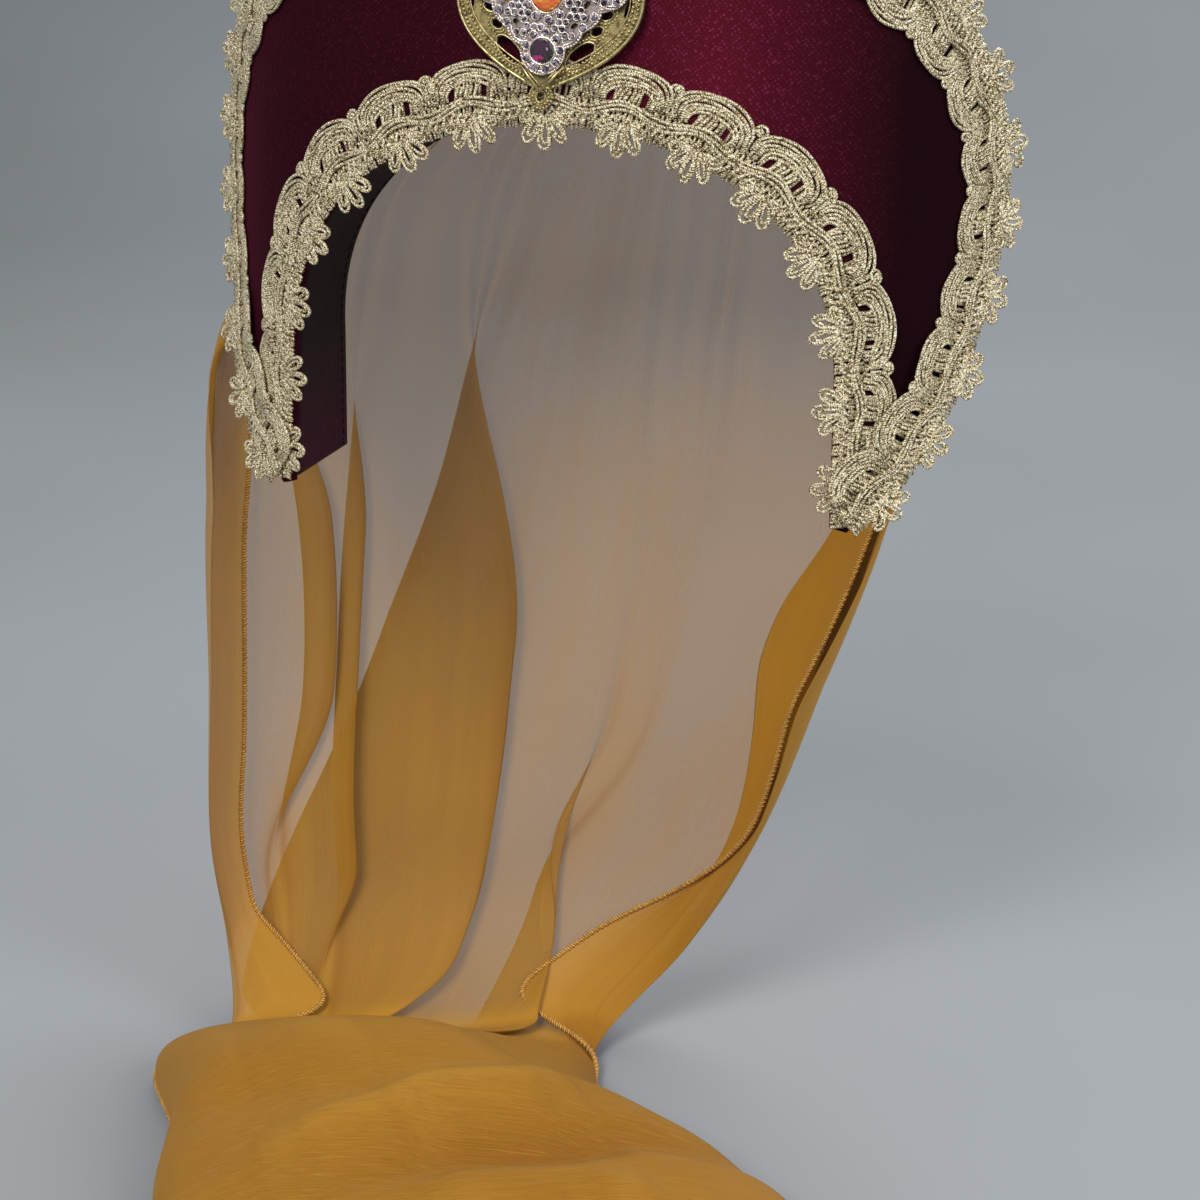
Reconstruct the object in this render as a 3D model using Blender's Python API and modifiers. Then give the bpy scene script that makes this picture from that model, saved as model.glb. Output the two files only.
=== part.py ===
# French hood: a velvet crescent on a head band, two laces, a brooch and a hanging veil.
# Metres, +Z up. The hood faces -Y and its wearer's left is +X.
# The origin is where the crown of the head meets the underside of the head band.

import math

import bmesh
import bpy
import numpy as np
from mathutils import Matrix

CM = 0.01
CLEARANCE = 0.00035          # gap kept between neighbouring pieces
ARCH_POINTS = 120            # points worked out on a quarter of an edge's curve
FALL_POINTS = 80             # and on its long fall to the tip
LINE_POINTS = 1200           # points on a whole edge when it is read by length

# Crescent board: a flat pattern of (across, height), bent round an upright, leaning surface.
BOARD_THICK = 0.003
BOARD_STATIONS = 49          # lines across the board, from tip to tip
BOARD_ROWS = 5
BOARD_FRONT = -0.0211        # y of the board's front face on the centre plane, at z = 0
SWEEP = 0.0429               # how far the sides have swept back at SWEEP_AT
SWEEP_AT = 0.116
SWEEP_POWER = 3.83
LEAN = 0.118                 # the board goes back this much for each metre of height

# Inner edge of the pattern: half of a superellipse over the head, on straight legs.
ARCH_HALF = 0.0864
ARCH_RISE = 0.07335
ARCH_POWER = 2.13
ARCH_FOOT = 0.0875
TIP_Z = -0.1125

# Outer edge of the pattern: a superellipse above its widest line, a long curve to the tip below.
RIM_HALF = 0.1435
RIM_LINE = -0.019            # height of the widest line
RIM_RISE = 0.096
RIM_POWER = 1.9
RIM_TIP = 0.0930
RIM_TIP_Z = -0.1145
RIM_FALL = 0.92

# Head band, behind the crescent's inner edge.
BAND_THICK = 0.002
BAND_STATIONS = 37
BAND_REAR = 0.024
BAND_GAP = 0.00055           # behind the board, at the band's outer side

# Laces: a strip with scallops on one side and loops in fans on the other.
LACE_THICK = 0.0014
LACE_WIDTH = 0.0175
LACE_SCALLOP = 0.0016
LACE_FAN = 0.0062            # how far the fans of loops reach past the edge
LACE_VALLEY = -0.0008
LACE_GAP_FROM = 0.0078
LACE_GAP_TO = 0.0120
FAN_START = 0.08             # where a fan starts in its repeat, and the share it takes
FAN_SHARE = 0.76
INNER_REPEATS = 15
OUTER_REPEATS = 27
LACE_LIFT = LACE_THICK + CLEARANCE     # the outer lace climbs over the inner one at the tips
LIFT_FROM = 0.068                      # distance from the tip where that climb starts
LIFT_OVER = 0.018
# Where the columns of one repeat stand, as shares of it, and which of them hold a gap.
LACE_COLUMNS = (0.0, 0.18, 0.26, 0.5, 0.66, 0.74)
LACE_GAP_COLUMNS = (1, 4)
LACE_GAP_ROW = 1
LACE_SLANT = 0.07                      # share of a repeat by which a gap leans
FAN_ROUND = 0.6                        # powers that round the fans and the scallops
SCALLOP_ROUND = 0.8
SCALLOP_LEAN = 0.2                     # how much of the gaps' lean the scallops take

# Brooch: a gold openwork back, a silver front set with stones.
BROOCH_Z = 0.0350
BROOCH_HALF = 0.0278
BROOCH_DROP = 0.0262
BROOCH_RISE = 0.0208
BROOCH_TURN = math.radians(3.0)
BROOCH_OVER = 0.0005         # how far past the lace's scallops the brooch first rests
HEART_ROUND = 0.9            # powers of the gold heart's outline
HEART_FALL = 2.2
HEART_LOW = 0.90             # share of its drop where the heart meets its round foot
FOOT_HALF = 0.0040
FOOT_RISE = 0.0036
FOOT_Y = -1.06 * BROOCH_DROP
BACK_THICK = 0.0012
FRONT_THICK = 0.0015
STONE_SIDES = 8

# Veil: sections from the seam on the band, down behind the head and forward over the ground.
VEIL_THICK = 0.001
VEIL_ACROSS = 30
VEIL_ALONG = 26
SECTION_COLUMNS = ("mid_x", "mid_y", "mid_z", "half", "back", "up", "hook_left", "hook_right", "turn",
                   "left_round", "right_round")
VEIL_SECTIONS = {            # centimetres, degrees, and how round each side is: 1 as the arch, less is fuller
    "seam":        (0.0, 1.5, -7.34, 8.83, 0.0, 7.62, 0, 0, 0, 1, 1),
    "band_rear":   (0.0, 2.4, -7.34, 8.86, 0.1, 7.65, 0, 0, 0, 1, 1),
    "crown":       (-0.6, 3.9, -7.20, 10.0, 2.4, 6.5, 10, 2, 1, 1, 1),
    "head_back":   (-1.7, 4.7, -7.80, 11.6, 5.0, 4.2, 20, 8, 3, 1, 1),
    "nape":        (-2.3, 4.9, -10.8, 11.7, 5.8, 1.6, 26, 12, 6, 1, 1),
    "below_ears":  (-3.0, 5.0, -14.8, 11.4, 5.2, 0.2, 28, 18, 8, 1, 1),
    "shoulder":    (-4.0, 5.3, -20.2, 10.7, 4.4, 0.0, 30, 24, 11, 1, 1),
    "waist":       (-5.1, 4.9, -26.0, 9.8, 3.6, 0.0, 28, 26, 13, 1, 1),
    "low":         (-6.0, 4.3, -30.4, 8.4, 2.6, 0.1, 20, 20, 14, 1, 1),
    "on_ground":   (-6.8, 2.1, -33.3, 6.9, 0.9, 0.3, 4, 4, 16, 1, 1),
    "rise":        (-7.2, -0.4, -33.5, 7.8, 0.2, 2.4, 0, 0, 12, 0.8, 1),
    "crest":       (-5.0, -3.3, -33.6, 7.7, 0.0, 4.5, 0, 0, 17, 0.6, 1.1),
    "forward":     (-1.8, -6.4, -33.6, 9.8, 0.0, 4.1, 0, 0, 17, 0.7, 1.1),
    "front":       (0.9, -10.2, -33.6, 10.5, 0.0, 3.3, 0, 0, 17, 0.9, 1),
    "hem":         (3.2, -15.2, -33.6, 10.9, 0.0, 1.0, 0, 0, 17, 1, 1),
}
FOLD_COLUMNS = ("at_top", "at_foot", "width", "depth", "first", "last")
VEIL_FOLDS = {               # places and widths as shares of the veil, depth in centimetres
    "left_roll":    (0.10, 0.10, 0.050, 0.45, 0.20, 0.62),
    "gold_strip":   (0.21, 0.16, 0.035, -0.85, 0.15, 0.60),
    "dark_fold":    (0.29, 0.27, 0.026, -0.90, 0.22, 0.60),
    "great_left":   (0.36, 0.32, 0.030, 1.00, 0.18, 0.62),
    "great_fold":   (0.46, 0.42, 0.050, -1.30, 0.12, 0.66),
    "post_fold":    (0.56, 0.60, 0.030, 0.95, 0.20, 0.62),
    "drift_one":    (0.66, 0.70, 0.040, -0.80, 0.15, 0.60),
    "drift_two":    (0.77, 0.80, 0.040, 0.75, 0.15, 0.58),
    "right_roll":   (0.88, 0.90, 0.035, -0.60, 0.20, 0.58),
    "mound_left":   (0.25, 0.20, 0.060, -0.40, 0.66, 1.00),
    "mound_mid":    (0.45, 0.52, 0.090, 0.45, 0.68, 1.00),
    "mound_right":  (0.72, 0.80, 0.060, -0.40, 0.66, 1.00),
}
GATHERS = 12                 # small gathers in the seam
GATHER_DEPTH = 0.0016
GATHER_LENGTH = 0.30

COLOURS = {                  # red, green, blue, metallic, roughness
    "velvet": (0.055, 0.006, 0.018, 0.0, 0.75),
    "lining": (0.015, 0.010, 0.012, 0.0, 0.8),
    "lace": (0.52, 0.45, 0.27, 0.6, 0.45),
    "gold": (0.62, 0.52, 0.30, 1.0, 0.35),
    "silver": (0.80, 0.78, 0.76, 1.0, 0.25),
    "amber": (0.95, 0.35, 0.05, 0.0, 0.08),
    "garnet": (0.16, 0.01, 0.06, 0.0, 0.08),
    "chiffon": (0.62, 0.36, 0.06, 0.0, 0.6),
}


# Scene and objects

def clear_scene():
    for old in list(bpy.data.objects):
        bpy.data.objects.remove(old, do_unlink=True)


def make_collections():
    parts = bpy.data.collections.new("french_hood")
    cutters = bpy.data.collections.new("cutters")
    for group in (parts, cutters):
        bpy.context.scene.collection.children.link(group)
    cutters.hide_render = True
    return parts, cutters


def material(name):
    red, green, blue, metallic, roughness = COLOURS[name]
    made = bpy.data.materials.get(name) or bpy.data.materials.new(name)
    made.use_nodes = True
    shader = made.node_tree.nodes["Principled BSDF"]
    shader.inputs["Base Color"].default_value = (red, green, blue, 1.0)
    shader.inputs["Metallic"].default_value = metallic
    shader.inputs["Roughness"].default_value = roughness
    return made


def add_object(name, mesh, group, finish):
    piece = bpy.data.objects.new(name, mesh)
    group.objects.link(piece)
    mesh.materials.clear()
    mesh.materials.append(material(finish))
    return piece


def grid_mesh(name, points, holes=()):
    """A sheet of quads on points[row, column]; holes lists the (row, column) quads left out."""
    rows, columns = points.shape[:2]
    index = np.arange(rows * columns).reshape(rows, columns)
    left_out = set(holes)
    faces = []
    for row in range(rows - 1):
        for column in range(columns - 1):
            if (row, column) in left_out:
                continue
            faces.append((index[row, column], index[row, column + 1],
                          index[row + 1, column + 1], index[row + 1, column]))
    mesh = bpy.data.meshes.new(name)
    mesh.from_pydata(points.reshape(-1, 3).tolist(), [], [tuple(map(int, face)) for face in faces])
    mesh.update()
    return mesh


def shell(piece, thickness):
    """Turn an open sheet into a wall that grows along its face normals."""
    wall = piece.modifiers.new("wall", "SOLIDIFY")
    wall.thickness = thickness
    wall.offset = 1.0
    return wall


# The board's pattern and its bend

def superellipse(half, rise, power, angle):
    side = np.sin(angle)
    top = np.cos(angle)
    return half * np.abs(side) ** (2 / power) * np.sign(side), rise * np.abs(top) ** (2 / power)


def even_path(points, count):
    """The same line with count points an equal distance apart."""
    steps = np.hypot(*np.diff(points, axis=0).T)
    travelled = np.concatenate(([0.0], np.cumsum(steps)))
    wanted = np.linspace(0.0, travelled[-1], count)
    return np.stack([np.interp(wanted, travelled, points[:, axis]) for axis in (0, 1)], axis=1)


def mirrored(half):
    """A half line from the centre plane to the right tip, made whole from left to right."""
    return np.concatenate((half[:0:-1] * (-1, 1), half))


def inner_edge():
    angle = np.linspace(0.0, math.pi / 2, ARCH_POINTS)
    across, height = superellipse(ARCH_HALF, ARCH_RISE, ARCH_POWER, angle)
    arch = np.stack((across, height - ARCH_RISE), axis=1)
    leg = np.array(((ARCH_FOOT, TIP_Z),))
    return np.concatenate((arch, leg))


def outer_edge():
    angle = np.linspace(0.0, math.pi / 2, ARCH_POINTS)
    across, height = superellipse(RIM_HALF, RIM_RISE, RIM_POWER, angle)
    top = np.stack((across, height + RIM_LINE), axis=1)
    fall = np.linspace(0.0, 1.0, FALL_POINTS)[1:]
    side = RIM_TIP + (RIM_HALF - RIM_TIP) * (1 - fall ** 2) ** RIM_FALL
    low = np.stack((side, RIM_LINE + (RIM_TIP_Z - RIM_LINE) * fall), axis=1)
    return np.concatenate((top, low))


def sweep_slope(x):
    return np.sign(x) * SWEEP * SWEEP_POWER / SWEEP_AT * np.abs(x / SWEEP_AT) ** (SWEEP_POWER - 1)


def unroll_table():
    """Distances along the bent board against x, so that the flat pattern keeps its lengths."""
    x = np.linspace(0.0, 0.16, 1601)
    slope = sweep_slope(x)
    length = np.sqrt(1 + slope ** 2)
    travelled = np.concatenate(([0.0], np.cumsum((length[1:] + length[:-1]) / 2 * np.diff(x))))
    return x, travelled


BEND_X, BEND_ACROSS = unroll_table()


def board_y(x, z):
    return BOARD_FRONT + SWEEP * np.abs(x / SWEEP_AT) ** SWEEP_POWER + LEAN * z


def bend(pattern, out):
    """Lay pattern points (across, height) on the board's front face, out metres in front of it."""
    across, z = pattern[..., 0], pattern[..., 1]
    x = np.sign(across) * np.interp(np.abs(across), BEND_ACROSS, BEND_X)
    slope = sweep_slope(x)
    size = np.sqrt(slope ** 2 + 1 + LEAN ** 2)
    return np.stack((x + out * slope / size, board_y(x, z) - out / size, z + out * LEAN / size), axis=-1)


# Crescent and head band

def make_crescent(group):
    inner = even_path(mirrored(inner_edge()), BOARD_STATIONS)
    outer = even_path(mirrored(outer_edge()), BOARD_STATIONS)
    shares = np.linspace(0.0, 1.0, BOARD_ROWS)[:, None, None]
    pattern = inner[None] * (1 - shares) + outer[None] * shares
    mesh = grid_mesh("crescent", bend(pattern, -BOARD_THICK))
    board = add_object("crescent", mesh, group, "velvet")
    shell(board, BOARD_THICK)
    board.data.shade_smooth()
    return board


def arch_normal(points):
    """Unit vectors square to a line in its plane, on its left as it runs."""
    run = np.gradient(points, axis=0)
    size = np.hypot(run[:, 0], run[:, 1])[:, None]
    return np.stack((-run[:, 1], run[:, 0]), axis=1) / size


def make_head_band(group):
    edge = bend(even_path(mirrored(inner_edge()), BAND_STATIONS), 0.0)
    flat = edge[:, (0, 2)]
    outer = flat + arch_normal(flat) * BAND_THICK
    slope = np.sqrt(1 + sweep_slope(outer[:, 0]) ** 2 + LEAN ** 2)
    front = board_y(outer[:, 0], outer[:, 1]) + BOARD_THICK * slope + BAND_GAP
    shares = np.linspace(0.0, 1.0, 3)
    depth = front[None] + (BAND_REAR - front[None]) * shares[:, None]
    points = np.stack((np.broadcast_to(flat[:, 0], depth.shape), depth,
                       np.broadcast_to(flat[:, 1], depth.shape)), axis=-1)
    band = add_object("head_band", grid_mesh("head_band", points), group, "lining")
    shell(band, BAND_THICK)
    band.data.shade_smooth()
    return band


# Laces

def lace_sheet(edge, repeats, normal_side, lift_tips):
    """Rows of points across a lace: fan tips, gap foot, gap head and scallops."""
    line = even_path(mirrored(edge), LINE_POINTS)
    normal = arch_normal(line) * normal_side
    length = np.hypot(*np.diff(line, axis=0).T).sum()
    along = np.linspace(0.0, 1.0, len(line))
    columns = [repeat + column for repeat in range(repeats) for column in LACE_COLUMNS]
    shares = np.array(columns + [repeats]) / repeats
    phase = (shares * repeats) % 1.0
    in_fan = np.clip((phase - FAN_START) / FAN_SHARE, 0.0, 1.0)
    fan = np.sin(math.pi * in_fan) ** FAN_ROUND
    scallop = np.sin(math.pi * phase) ** SCALLOP_ROUND
    rows = (
        (LACE_VALLEY - LACE_FAN * fan, -0.5),
        (np.full(len(phase), LACE_GAP_FROM), -0.5),
        (np.full(len(phase), LACE_GAP_TO), 0.5),
        (LACE_WIDTH + LACE_SCALLOP * (2 * scallop - 1), SCALLOP_LEAN),
    )
    sheet = []
    for width, slant in rows:
        upright_ends = np.minimum(1.0, np.minimum(shares, 1 - shares) * repeats * 2)
        place = np.clip(shares + slant * LACE_SLANT / repeats * upright_ends, 0.0, 1.0)
        foot = np.stack([np.interp(place, along, line[:, axis]) for axis in (0, 1)], axis=1)
        way = np.stack([np.interp(place, along, normal[:, axis]) for axis in (0, 1)], axis=1)
        out = np.full(len(place), CLEARANCE)
        if lift_tips:
            from_tip = np.minimum(place, 1 - place) * length
            climb = np.clip((LIFT_FROM - from_tip) / LIFT_OVER, 0.0, 1.0)
            out = out + LACE_LIFT * climb * climb * (3 - 2 * climb)
        sheet.append(bend(foot + way * width[:, None], out))
    return np.stack(sheet)


def make_lace(name, group, edge, repeats, normal_side, lift_tips):
    points = lace_sheet(edge, repeats, normal_side, lift_tips)
    columns = len(LACE_COLUMNS)
    holes = [(LACE_GAP_ROW, repeat * columns + gap) for repeat in range(repeats) for gap in LACE_GAP_COLUMNS]
    if normal_side < 0:
        points = points[:, ::-1]
        last = repeats * columns - 1
        holes = [(row, last - column) for row, column in holes]
    lace = add_object(name, grid_mesh(name, points, holes), group, "lace")
    shell(lace, LACE_THICK)
    return lace


# Brooch

def brooch_place(out):
    """Matrix from the brooch's own plane (x across, y up, z out) to its seat, out in front of the velvet."""
    lace_top = LACE_WIDTH + LACE_SCALLOP + BROOCH_OVER
    rest = bend(np.array((0.0, lace_top)), 2 * CLEARANCE + LACE_THICK)
    head = bend(np.array((0.0, BROOCH_Z + BROOCH_RISE)), CLEARANCE)
    lean = math.atan2(head[1] - rest[1], head[2] - rest[2])
    middle = rest + (head - rest) * (BROOCH_Z - lace_top) / (BROOCH_Z + BROOCH_RISE - lace_top)
    place = Matrix.Translation(middle) @ Matrix.Rotation(math.pi / 2 - lean, 4, "X")
    place = place @ Matrix.Rotation(-BROOCH_TURN, 4, "Z")
    return place @ Matrix.Translation((0.0, 0.0, out))


def flat_plate(name, outline, holes, thickness, place, group, finish):
    """A plate with holes: a filled flat curve, made a mesh and put on its seat."""
    curve = bpy.data.curves.new(name, "CURVE")
    curve.dimensions = "2D"
    curve.fill_mode = "BOTH"
    curve.extrude = thickness / 2
    for ring in [outline] + holes:
        spline = curve.splines.new("POLY")
        spline.points.add(len(ring) - 1)
        for point, (x, y) in zip(spline.points, ring):
            point.co = (x, y, 0.0, 1.0)
        spline.use_cyclic_u = True
    drawn = bpy.data.objects.new(name + "_outline", curve)
    group.objects.link(drawn)
    bpy.context.view_layer.update()
    evaluated = drawn.evaluated_get(bpy.context.evaluated_depsgraph_get())
    mesh = bpy.data.meshes.new_from_object(evaluated)
    work = bmesh.new()
    work.from_mesh(mesh)
    bmesh.ops.remove_doubles(work, verts=work.verts, dist=0.00001)
    bmesh.ops.transform(work, matrix=place @ Matrix.Translation((0, 0, thickness / 2)), verts=work.verts)
    work.to_mesh(mesh)
    work.free()
    bpy.data.objects.remove(drawn, do_unlink=True)
    return add_object(name, mesh, group, finish)


def ellipse(x, y, half_x, half_y, sides, turn=0.0):
    angle = np.linspace(0.0, 2 * math.pi, sides, endpoint=False)
    along, beside = half_x * np.cos(angle), half_y * np.sin(angle)
    return np.stack((x + along * math.cos(turn) - beside * math.sin(turn),
                     y + along * math.sin(turn) + beside * math.cos(turn)), axis=1)


def back_outline():
    """Half width against depth: a rounded heart that narrows to a small round foot."""
    up = np.linspace(0.0, math.pi / 2, 9)[:-1]
    top = np.stack((BROOCH_HALF * np.cos(up) ** HEART_ROUND, BROOCH_RISE * np.sin(up) ** HEART_ROUND), axis=1)
    depth = np.linspace(0.0, HEART_LOW, 8)[1:]
    side = BROOCH_HALF * (1 - depth ** HEART_FALL) ** HEART_ROUND
    low = np.stack((side, -BROOCH_DROP * depth), axis=1)
    foot = ellipse(0.0, FOOT_Y, FOOT_HALF, FOOT_RISE, 8)
    right = np.concatenate((top[::-1], low, foot[foot[:, 0] > 0.001][::-1][1:]))
    crown = np.array(((0.0, BROOCH_RISE),))
    base = np.array(((0.0, FOOT_Y - FOOT_RISE),))
    return np.concatenate((crown, right, base, (right * (-1, 1))[::-1]))


def lobed_outline(discs, sides):
    """The farthest reach of a set of discs in every direction from the middle."""
    angle = np.linspace(0.0, 2 * math.pi, sides, endpoint=False) + math.pi / 2
    reach = np.full(sides, 0.003)
    for x, y, radius in discs:
        along = x * np.cos(angle) + y * np.sin(angle)
        beside = x * np.sin(angle) - y * np.cos(angle)
        inside = radius ** 2 - beside ** 2
        reach = np.where(inside > 0, np.maximum(reach, along + np.sqrt(np.maximum(inside, 0))), reach)
    return np.stack((reach * np.cos(angle), reach * np.sin(angle)), axis=1)


FRONT_DISCS = (              # x, y, radius of the round fields that make the silver front
    (0.0, 0.0017, 0.0100),
    (0.0, -0.0153, 0.0067),
    (0.0100, -0.0030, 0.0064),
    (-0.0100, -0.0030, 0.0064),
    (0.0060, -0.0090, 0.0052),
    (-0.0060, -0.0090, 0.0052),
    (0.0182, 0.0022, 0.0052),
    (-0.0182, 0.0022, 0.0052),
    (0.0102, 0.0095, 0.0052),
    (-0.0102, 0.0095, 0.0052),
    (0.0, 0.0140, 0.0046),
)
AMBER_HALF = (0.0049, 0.0063)
GARNET_RADIUS = 0.0034
AMBER_HEIGHT = 0.0034
AMBER_PLACE = (0.0, 0.0017, 0.0)
GARNET_HEIGHT = 0.0026
GARNET_PLACE = (0.0, -0.0153, 0.0)
BACK_OPENINGS = (            # x, y, half length, half breadth, sides, turn, of the openings on the right
    (0.0105, -0.0156, 0.0050, 0.0022, 10, 0.73),
    (0.0148, -0.0087, 0.0018, 0.0012, 6, 0.5),
    (0.0174, -0.0042, 0.0018, 0.0011, 6, 0.4),
    (0.0232, -0.0020, 0.0030, 0.0009, 8, 1.35),
    (0.0213, 0.0068, 0.0024, 0.0012, 8, -1.2),
    (0.0160, 0.0135, 0.0028, 0.0014, 8, -0.75),
)
FOOT_OPENING = (0.0, -0.0278, 0.0011, 0.0013, 8)
FRONT_OPENINGS = (
    (0.0118, -0.0018, 0.0013, 0.0009, 6, 0.9),
    (0.0086, -0.0078, 0.0012, 0.0008, 6, 0.5),
    (0.0118, 0.0058, 0.0012, 0.0008, 6, -0.6),
)
PAVE_RINGS = (               # x, y, half width, half height, stones
    (0.0, 0.0017, 0.0072, 0.0084, 12),
    (0.0, -0.0153, 0.0051, 0.0051, 9),
    (0.0182, 0.0022, 0.0034, 0.0034, 6),
    (-0.0182, 0.0022, 0.0034, 0.0034, 6),
    (0.0108, 0.0106, 0.0026, 0.0026, 5),
    (-0.0108, 0.0106, 0.0026, 0.0026, 5),
)
PAVE_RING_TURN = 0.1
PAVE_SINGLES = ((0.0182, 0.0022), (0.0142, -0.0050), (0.0112, -0.0082), (0.0108, 0.0106))   # on both sides
PAVE_TOP = (0.0, 0.0150)
PAVE_RADIUS = 0.00095
PAVE_HEIGHT = 0.0011
PAVE_SUNK = 0.0003
PAVE_TABLE = 0.6             # share of a small stone's width that its flat table takes


def pave_places():
    """Middles of the small clear stones: rings round each field and a few on the shoulders."""
    places = []
    for x, y, half_x, half_y, count in PAVE_RINGS:
        places.extend(ellipse(x, y, half_x, half_y, count, PAVE_RING_TURN).tolist())
    for x, y in PAVE_SINGLES:
        places.extend(((x, y), (-x, y)))
    places.append(PAVE_TOP)
    return places


def both_sides(openings):
    """The listed openings and their mirror images."""
    rings = []
    for x, y, half_x, half_y, sides, turn in openings:
        rings.append(ellipse(x, y, half_x, half_y, sides, turn))
        rings.append(ellipse(-x, y, half_x, half_y, sides, -turn))
    return rings


def cut_stone(name, half_x, half_y, height, sides, place, group, finish):
    """A faceted stone: girdle, a ring of crown facets and a flat table."""
    levels = ((0.0, 0.80), (0.30, 1.0), (0.42, 1.0), (1.0, 0.56))
    rings = [np.column_stack((ellipse(0, 0, half_x * grow, half_y * grow, sides), np.full(sides, height * up)))
             for up, grow in levels]
    work = bmesh.new()
    made = [[work.verts.new(point) for point in ring] for ring in rings]
    for lower, upper in zip(made[:-1], made[1:]):
        for step in range(sides):
            after = (step + 1) % sides
            work.faces.new((lower[step], lower[after], upper[after], upper[step]))
    work.faces.new(made[0][::-1])
    work.faces.new(made[-1])
    bmesh.ops.transform(work, matrix=place, verts=work.verts)
    mesh = bpy.data.meshes.new(name)
    work.to_mesh(mesh)
    work.free()
    return add_object(name, mesh, group, finish)


def make_brooch(group, cutters):
    back_holes = both_sides(BACK_OPENINGS) + [ellipse(*FOOT_OPENING)]
    flat_plate("brooch_back", back_outline(), back_holes, BACK_THICK, brooch_place(0.0), group, "gold")

    front_out = BACK_THICK + CLEARANCE
    front = flat_plate("brooch_front", lobed_outline(FRONT_DISCS, 56), both_sides(FRONT_OPENINGS),
                       FRONT_THICK, brooch_place(front_out), group, "silver")
    studs = bmesh.new()
    for x, y in pave_places():
        seat = brooch_place(front_out + FRONT_THICK - PAVE_SUNK) @ Matrix.Translation((x, y, PAVE_HEIGHT / 2))
        bmesh.ops.create_cone(studs, cap_ends=True, segments=STONE_SIDES, radius1=PAVE_RADIUS,
                              radius2=PAVE_RADIUS * PAVE_TABLE, depth=PAVE_HEIGHT, matrix=seat)
    stud_mesh = bpy.data.meshes.new("pave_stones")
    studs.to_mesh(stud_mesh)
    studs.free()
    tool = add_object("pave_stones", stud_mesh, cutters, "silver")
    tool.hide_render = True
    tool.display_type = "WIRE"
    fuse = front.modifiers.new("stones", "BOOLEAN")
    fuse.operation = "UNION"
    fuse.object = tool

    stone_out = front_out + FRONT_THICK + CLEARANCE
    amber_seat = brooch_place(stone_out) @ Matrix.Translation(AMBER_PLACE)
    cut_stone("centre_stone", *AMBER_HALF, AMBER_HEIGHT, 12, amber_seat, group, "amber")
    garnet_seat = brooch_place(stone_out) @ Matrix.Translation(GARNET_PLACE)
    cut_stone("drop_stone", GARNET_RADIUS, GARNET_RADIUS, GARNET_HEIGHT, 10, garnet_seat, group, "garnet")


# Veil

def smooth_through(rows, share):
    """A smooth curve through evenly numbered rows, read at shares from 0 to 1."""
    rows = np.asarray(rows, dtype=float)
    place = np.clip(share, 0.0, 1.0) * (len(rows) - 1)
    start = np.minimum(place.astype(int), len(rows) - 2)
    part = (place - start)[:, None]
    before = rows[np.maximum(start - 1, 0)]
    first, second = rows[start], rows[start + 1]
    after = rows[np.minimum(start + 2, len(rows) - 1)]
    return 0.5 * (2 * first + (second - before) * part
                  + (2 * before - 5 * first + 4 * second - after) * part ** 2
                  + (3 * first - before - 3 * second + after) * part ** 3)


def veil_points(across, along):
    """Points of the veil: share across from its left hem, share along from the seam to the end."""
    table = smooth_through(list(VEIL_SECTIONS.values()), along)
    row = {name: table[:, place][:, None] for place, name in enumerate(SECTION_COLUMNS)}
    turn = np.radians(row["turn"])
    start = math.pi + np.radians(row["hook_left"])
    finish = -np.radians(row["hook_right"])
    angle = start + (finish - start) * across[None, :]
    side = np.sign(np.cos(angle)) * np.abs(np.cos(angle)) ** (2 / ARCH_POWER)
    rounding = np.where(np.cos(angle) < 0, row["left_round"], row["right_round"])
    bow = np.sign(np.sin(angle)) * np.abs(np.sin(angle)) ** (rounding * 2 / ARCH_POWER)

    share = along[:, None]
    deep = np.zeros_like(angle)
    for values in VEIL_FOLDS.values():
        fold = dict(zip(FOLD_COLUMNS, values))
        middle = fold["at_top"] + (fold["at_foot"] - fold["at_top"]) * share
        ridge = np.exp(-((across[None, :] - middle) / fold["width"]) ** 2)
        grows = np.clip((share - fold["first"]) / 0.14, 0.0, 1.0)
        fades = np.clip((fold["last"] + 0.06 - share) / 0.06, 0.0, 1.0)
        deep = deep + fold["depth"] * ridge * grows * grows * (3 - 2 * grows) * fades

    bow_size = np.maximum(np.hypot(row["back"], row["up"]), 0.5)
    out_side = side * bow_size
    out_bow = bow * row["half"]
    size = np.maximum(np.hypot(out_side, out_bow), 1e-6)
    gather = np.clip(share / 0.05, 0.0, 1.0) * np.clip(1 - share / GATHER_LENGTH, 0.0, 1.0)
    ripple = GATHER_DEPTH / CM * (1 + np.sin(2 * math.pi * GATHERS * across[None, :])) * gather
    push_side = (deep + ripple) * out_side / size
    push_bow = (deep + ripple) * out_bow / size

    sideways = row["half"] * side + push_side
    back = row["back"] * bow + push_bow * row["back"] / bow_size
    up = row["up"] * bow + push_bow * row["up"] / bow_size
    x = row["mid_x"] + sideways * np.cos(turn) - back * np.sin(turn)
    y = row["mid_y"] + sideways * np.sin(turn) + back * np.cos(turn)
    z = row["mid_z"] + up
    return np.stack((x, y, z), axis=-1) * CM


def make_veil(group):
    points = veil_points(np.linspace(0.0, 1.0, VEIL_ACROSS + 1), np.linspace(0.0, 1.0, VEIL_ALONG + 1))
    veil = add_object("veil", grid_mesh("veil", points), group, "chiffon")
    shell(veil, VEIL_THICK)
    veil.data.shade_smooth()
    return veil


def main():
    clear_scene()
    parts, cutters = make_collections()
    make_crescent(parts)
    make_head_band(parts)
    make_lace("inner_lace", parts, inner_edge(), INNER_REPEATS, 1.0, False)
    make_lace("outer_lace", parts, outer_edge(), OUTER_REPEATS, -1.0, True)
    make_brooch(parts, cutters)
    make_veil(parts)


main()
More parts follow.
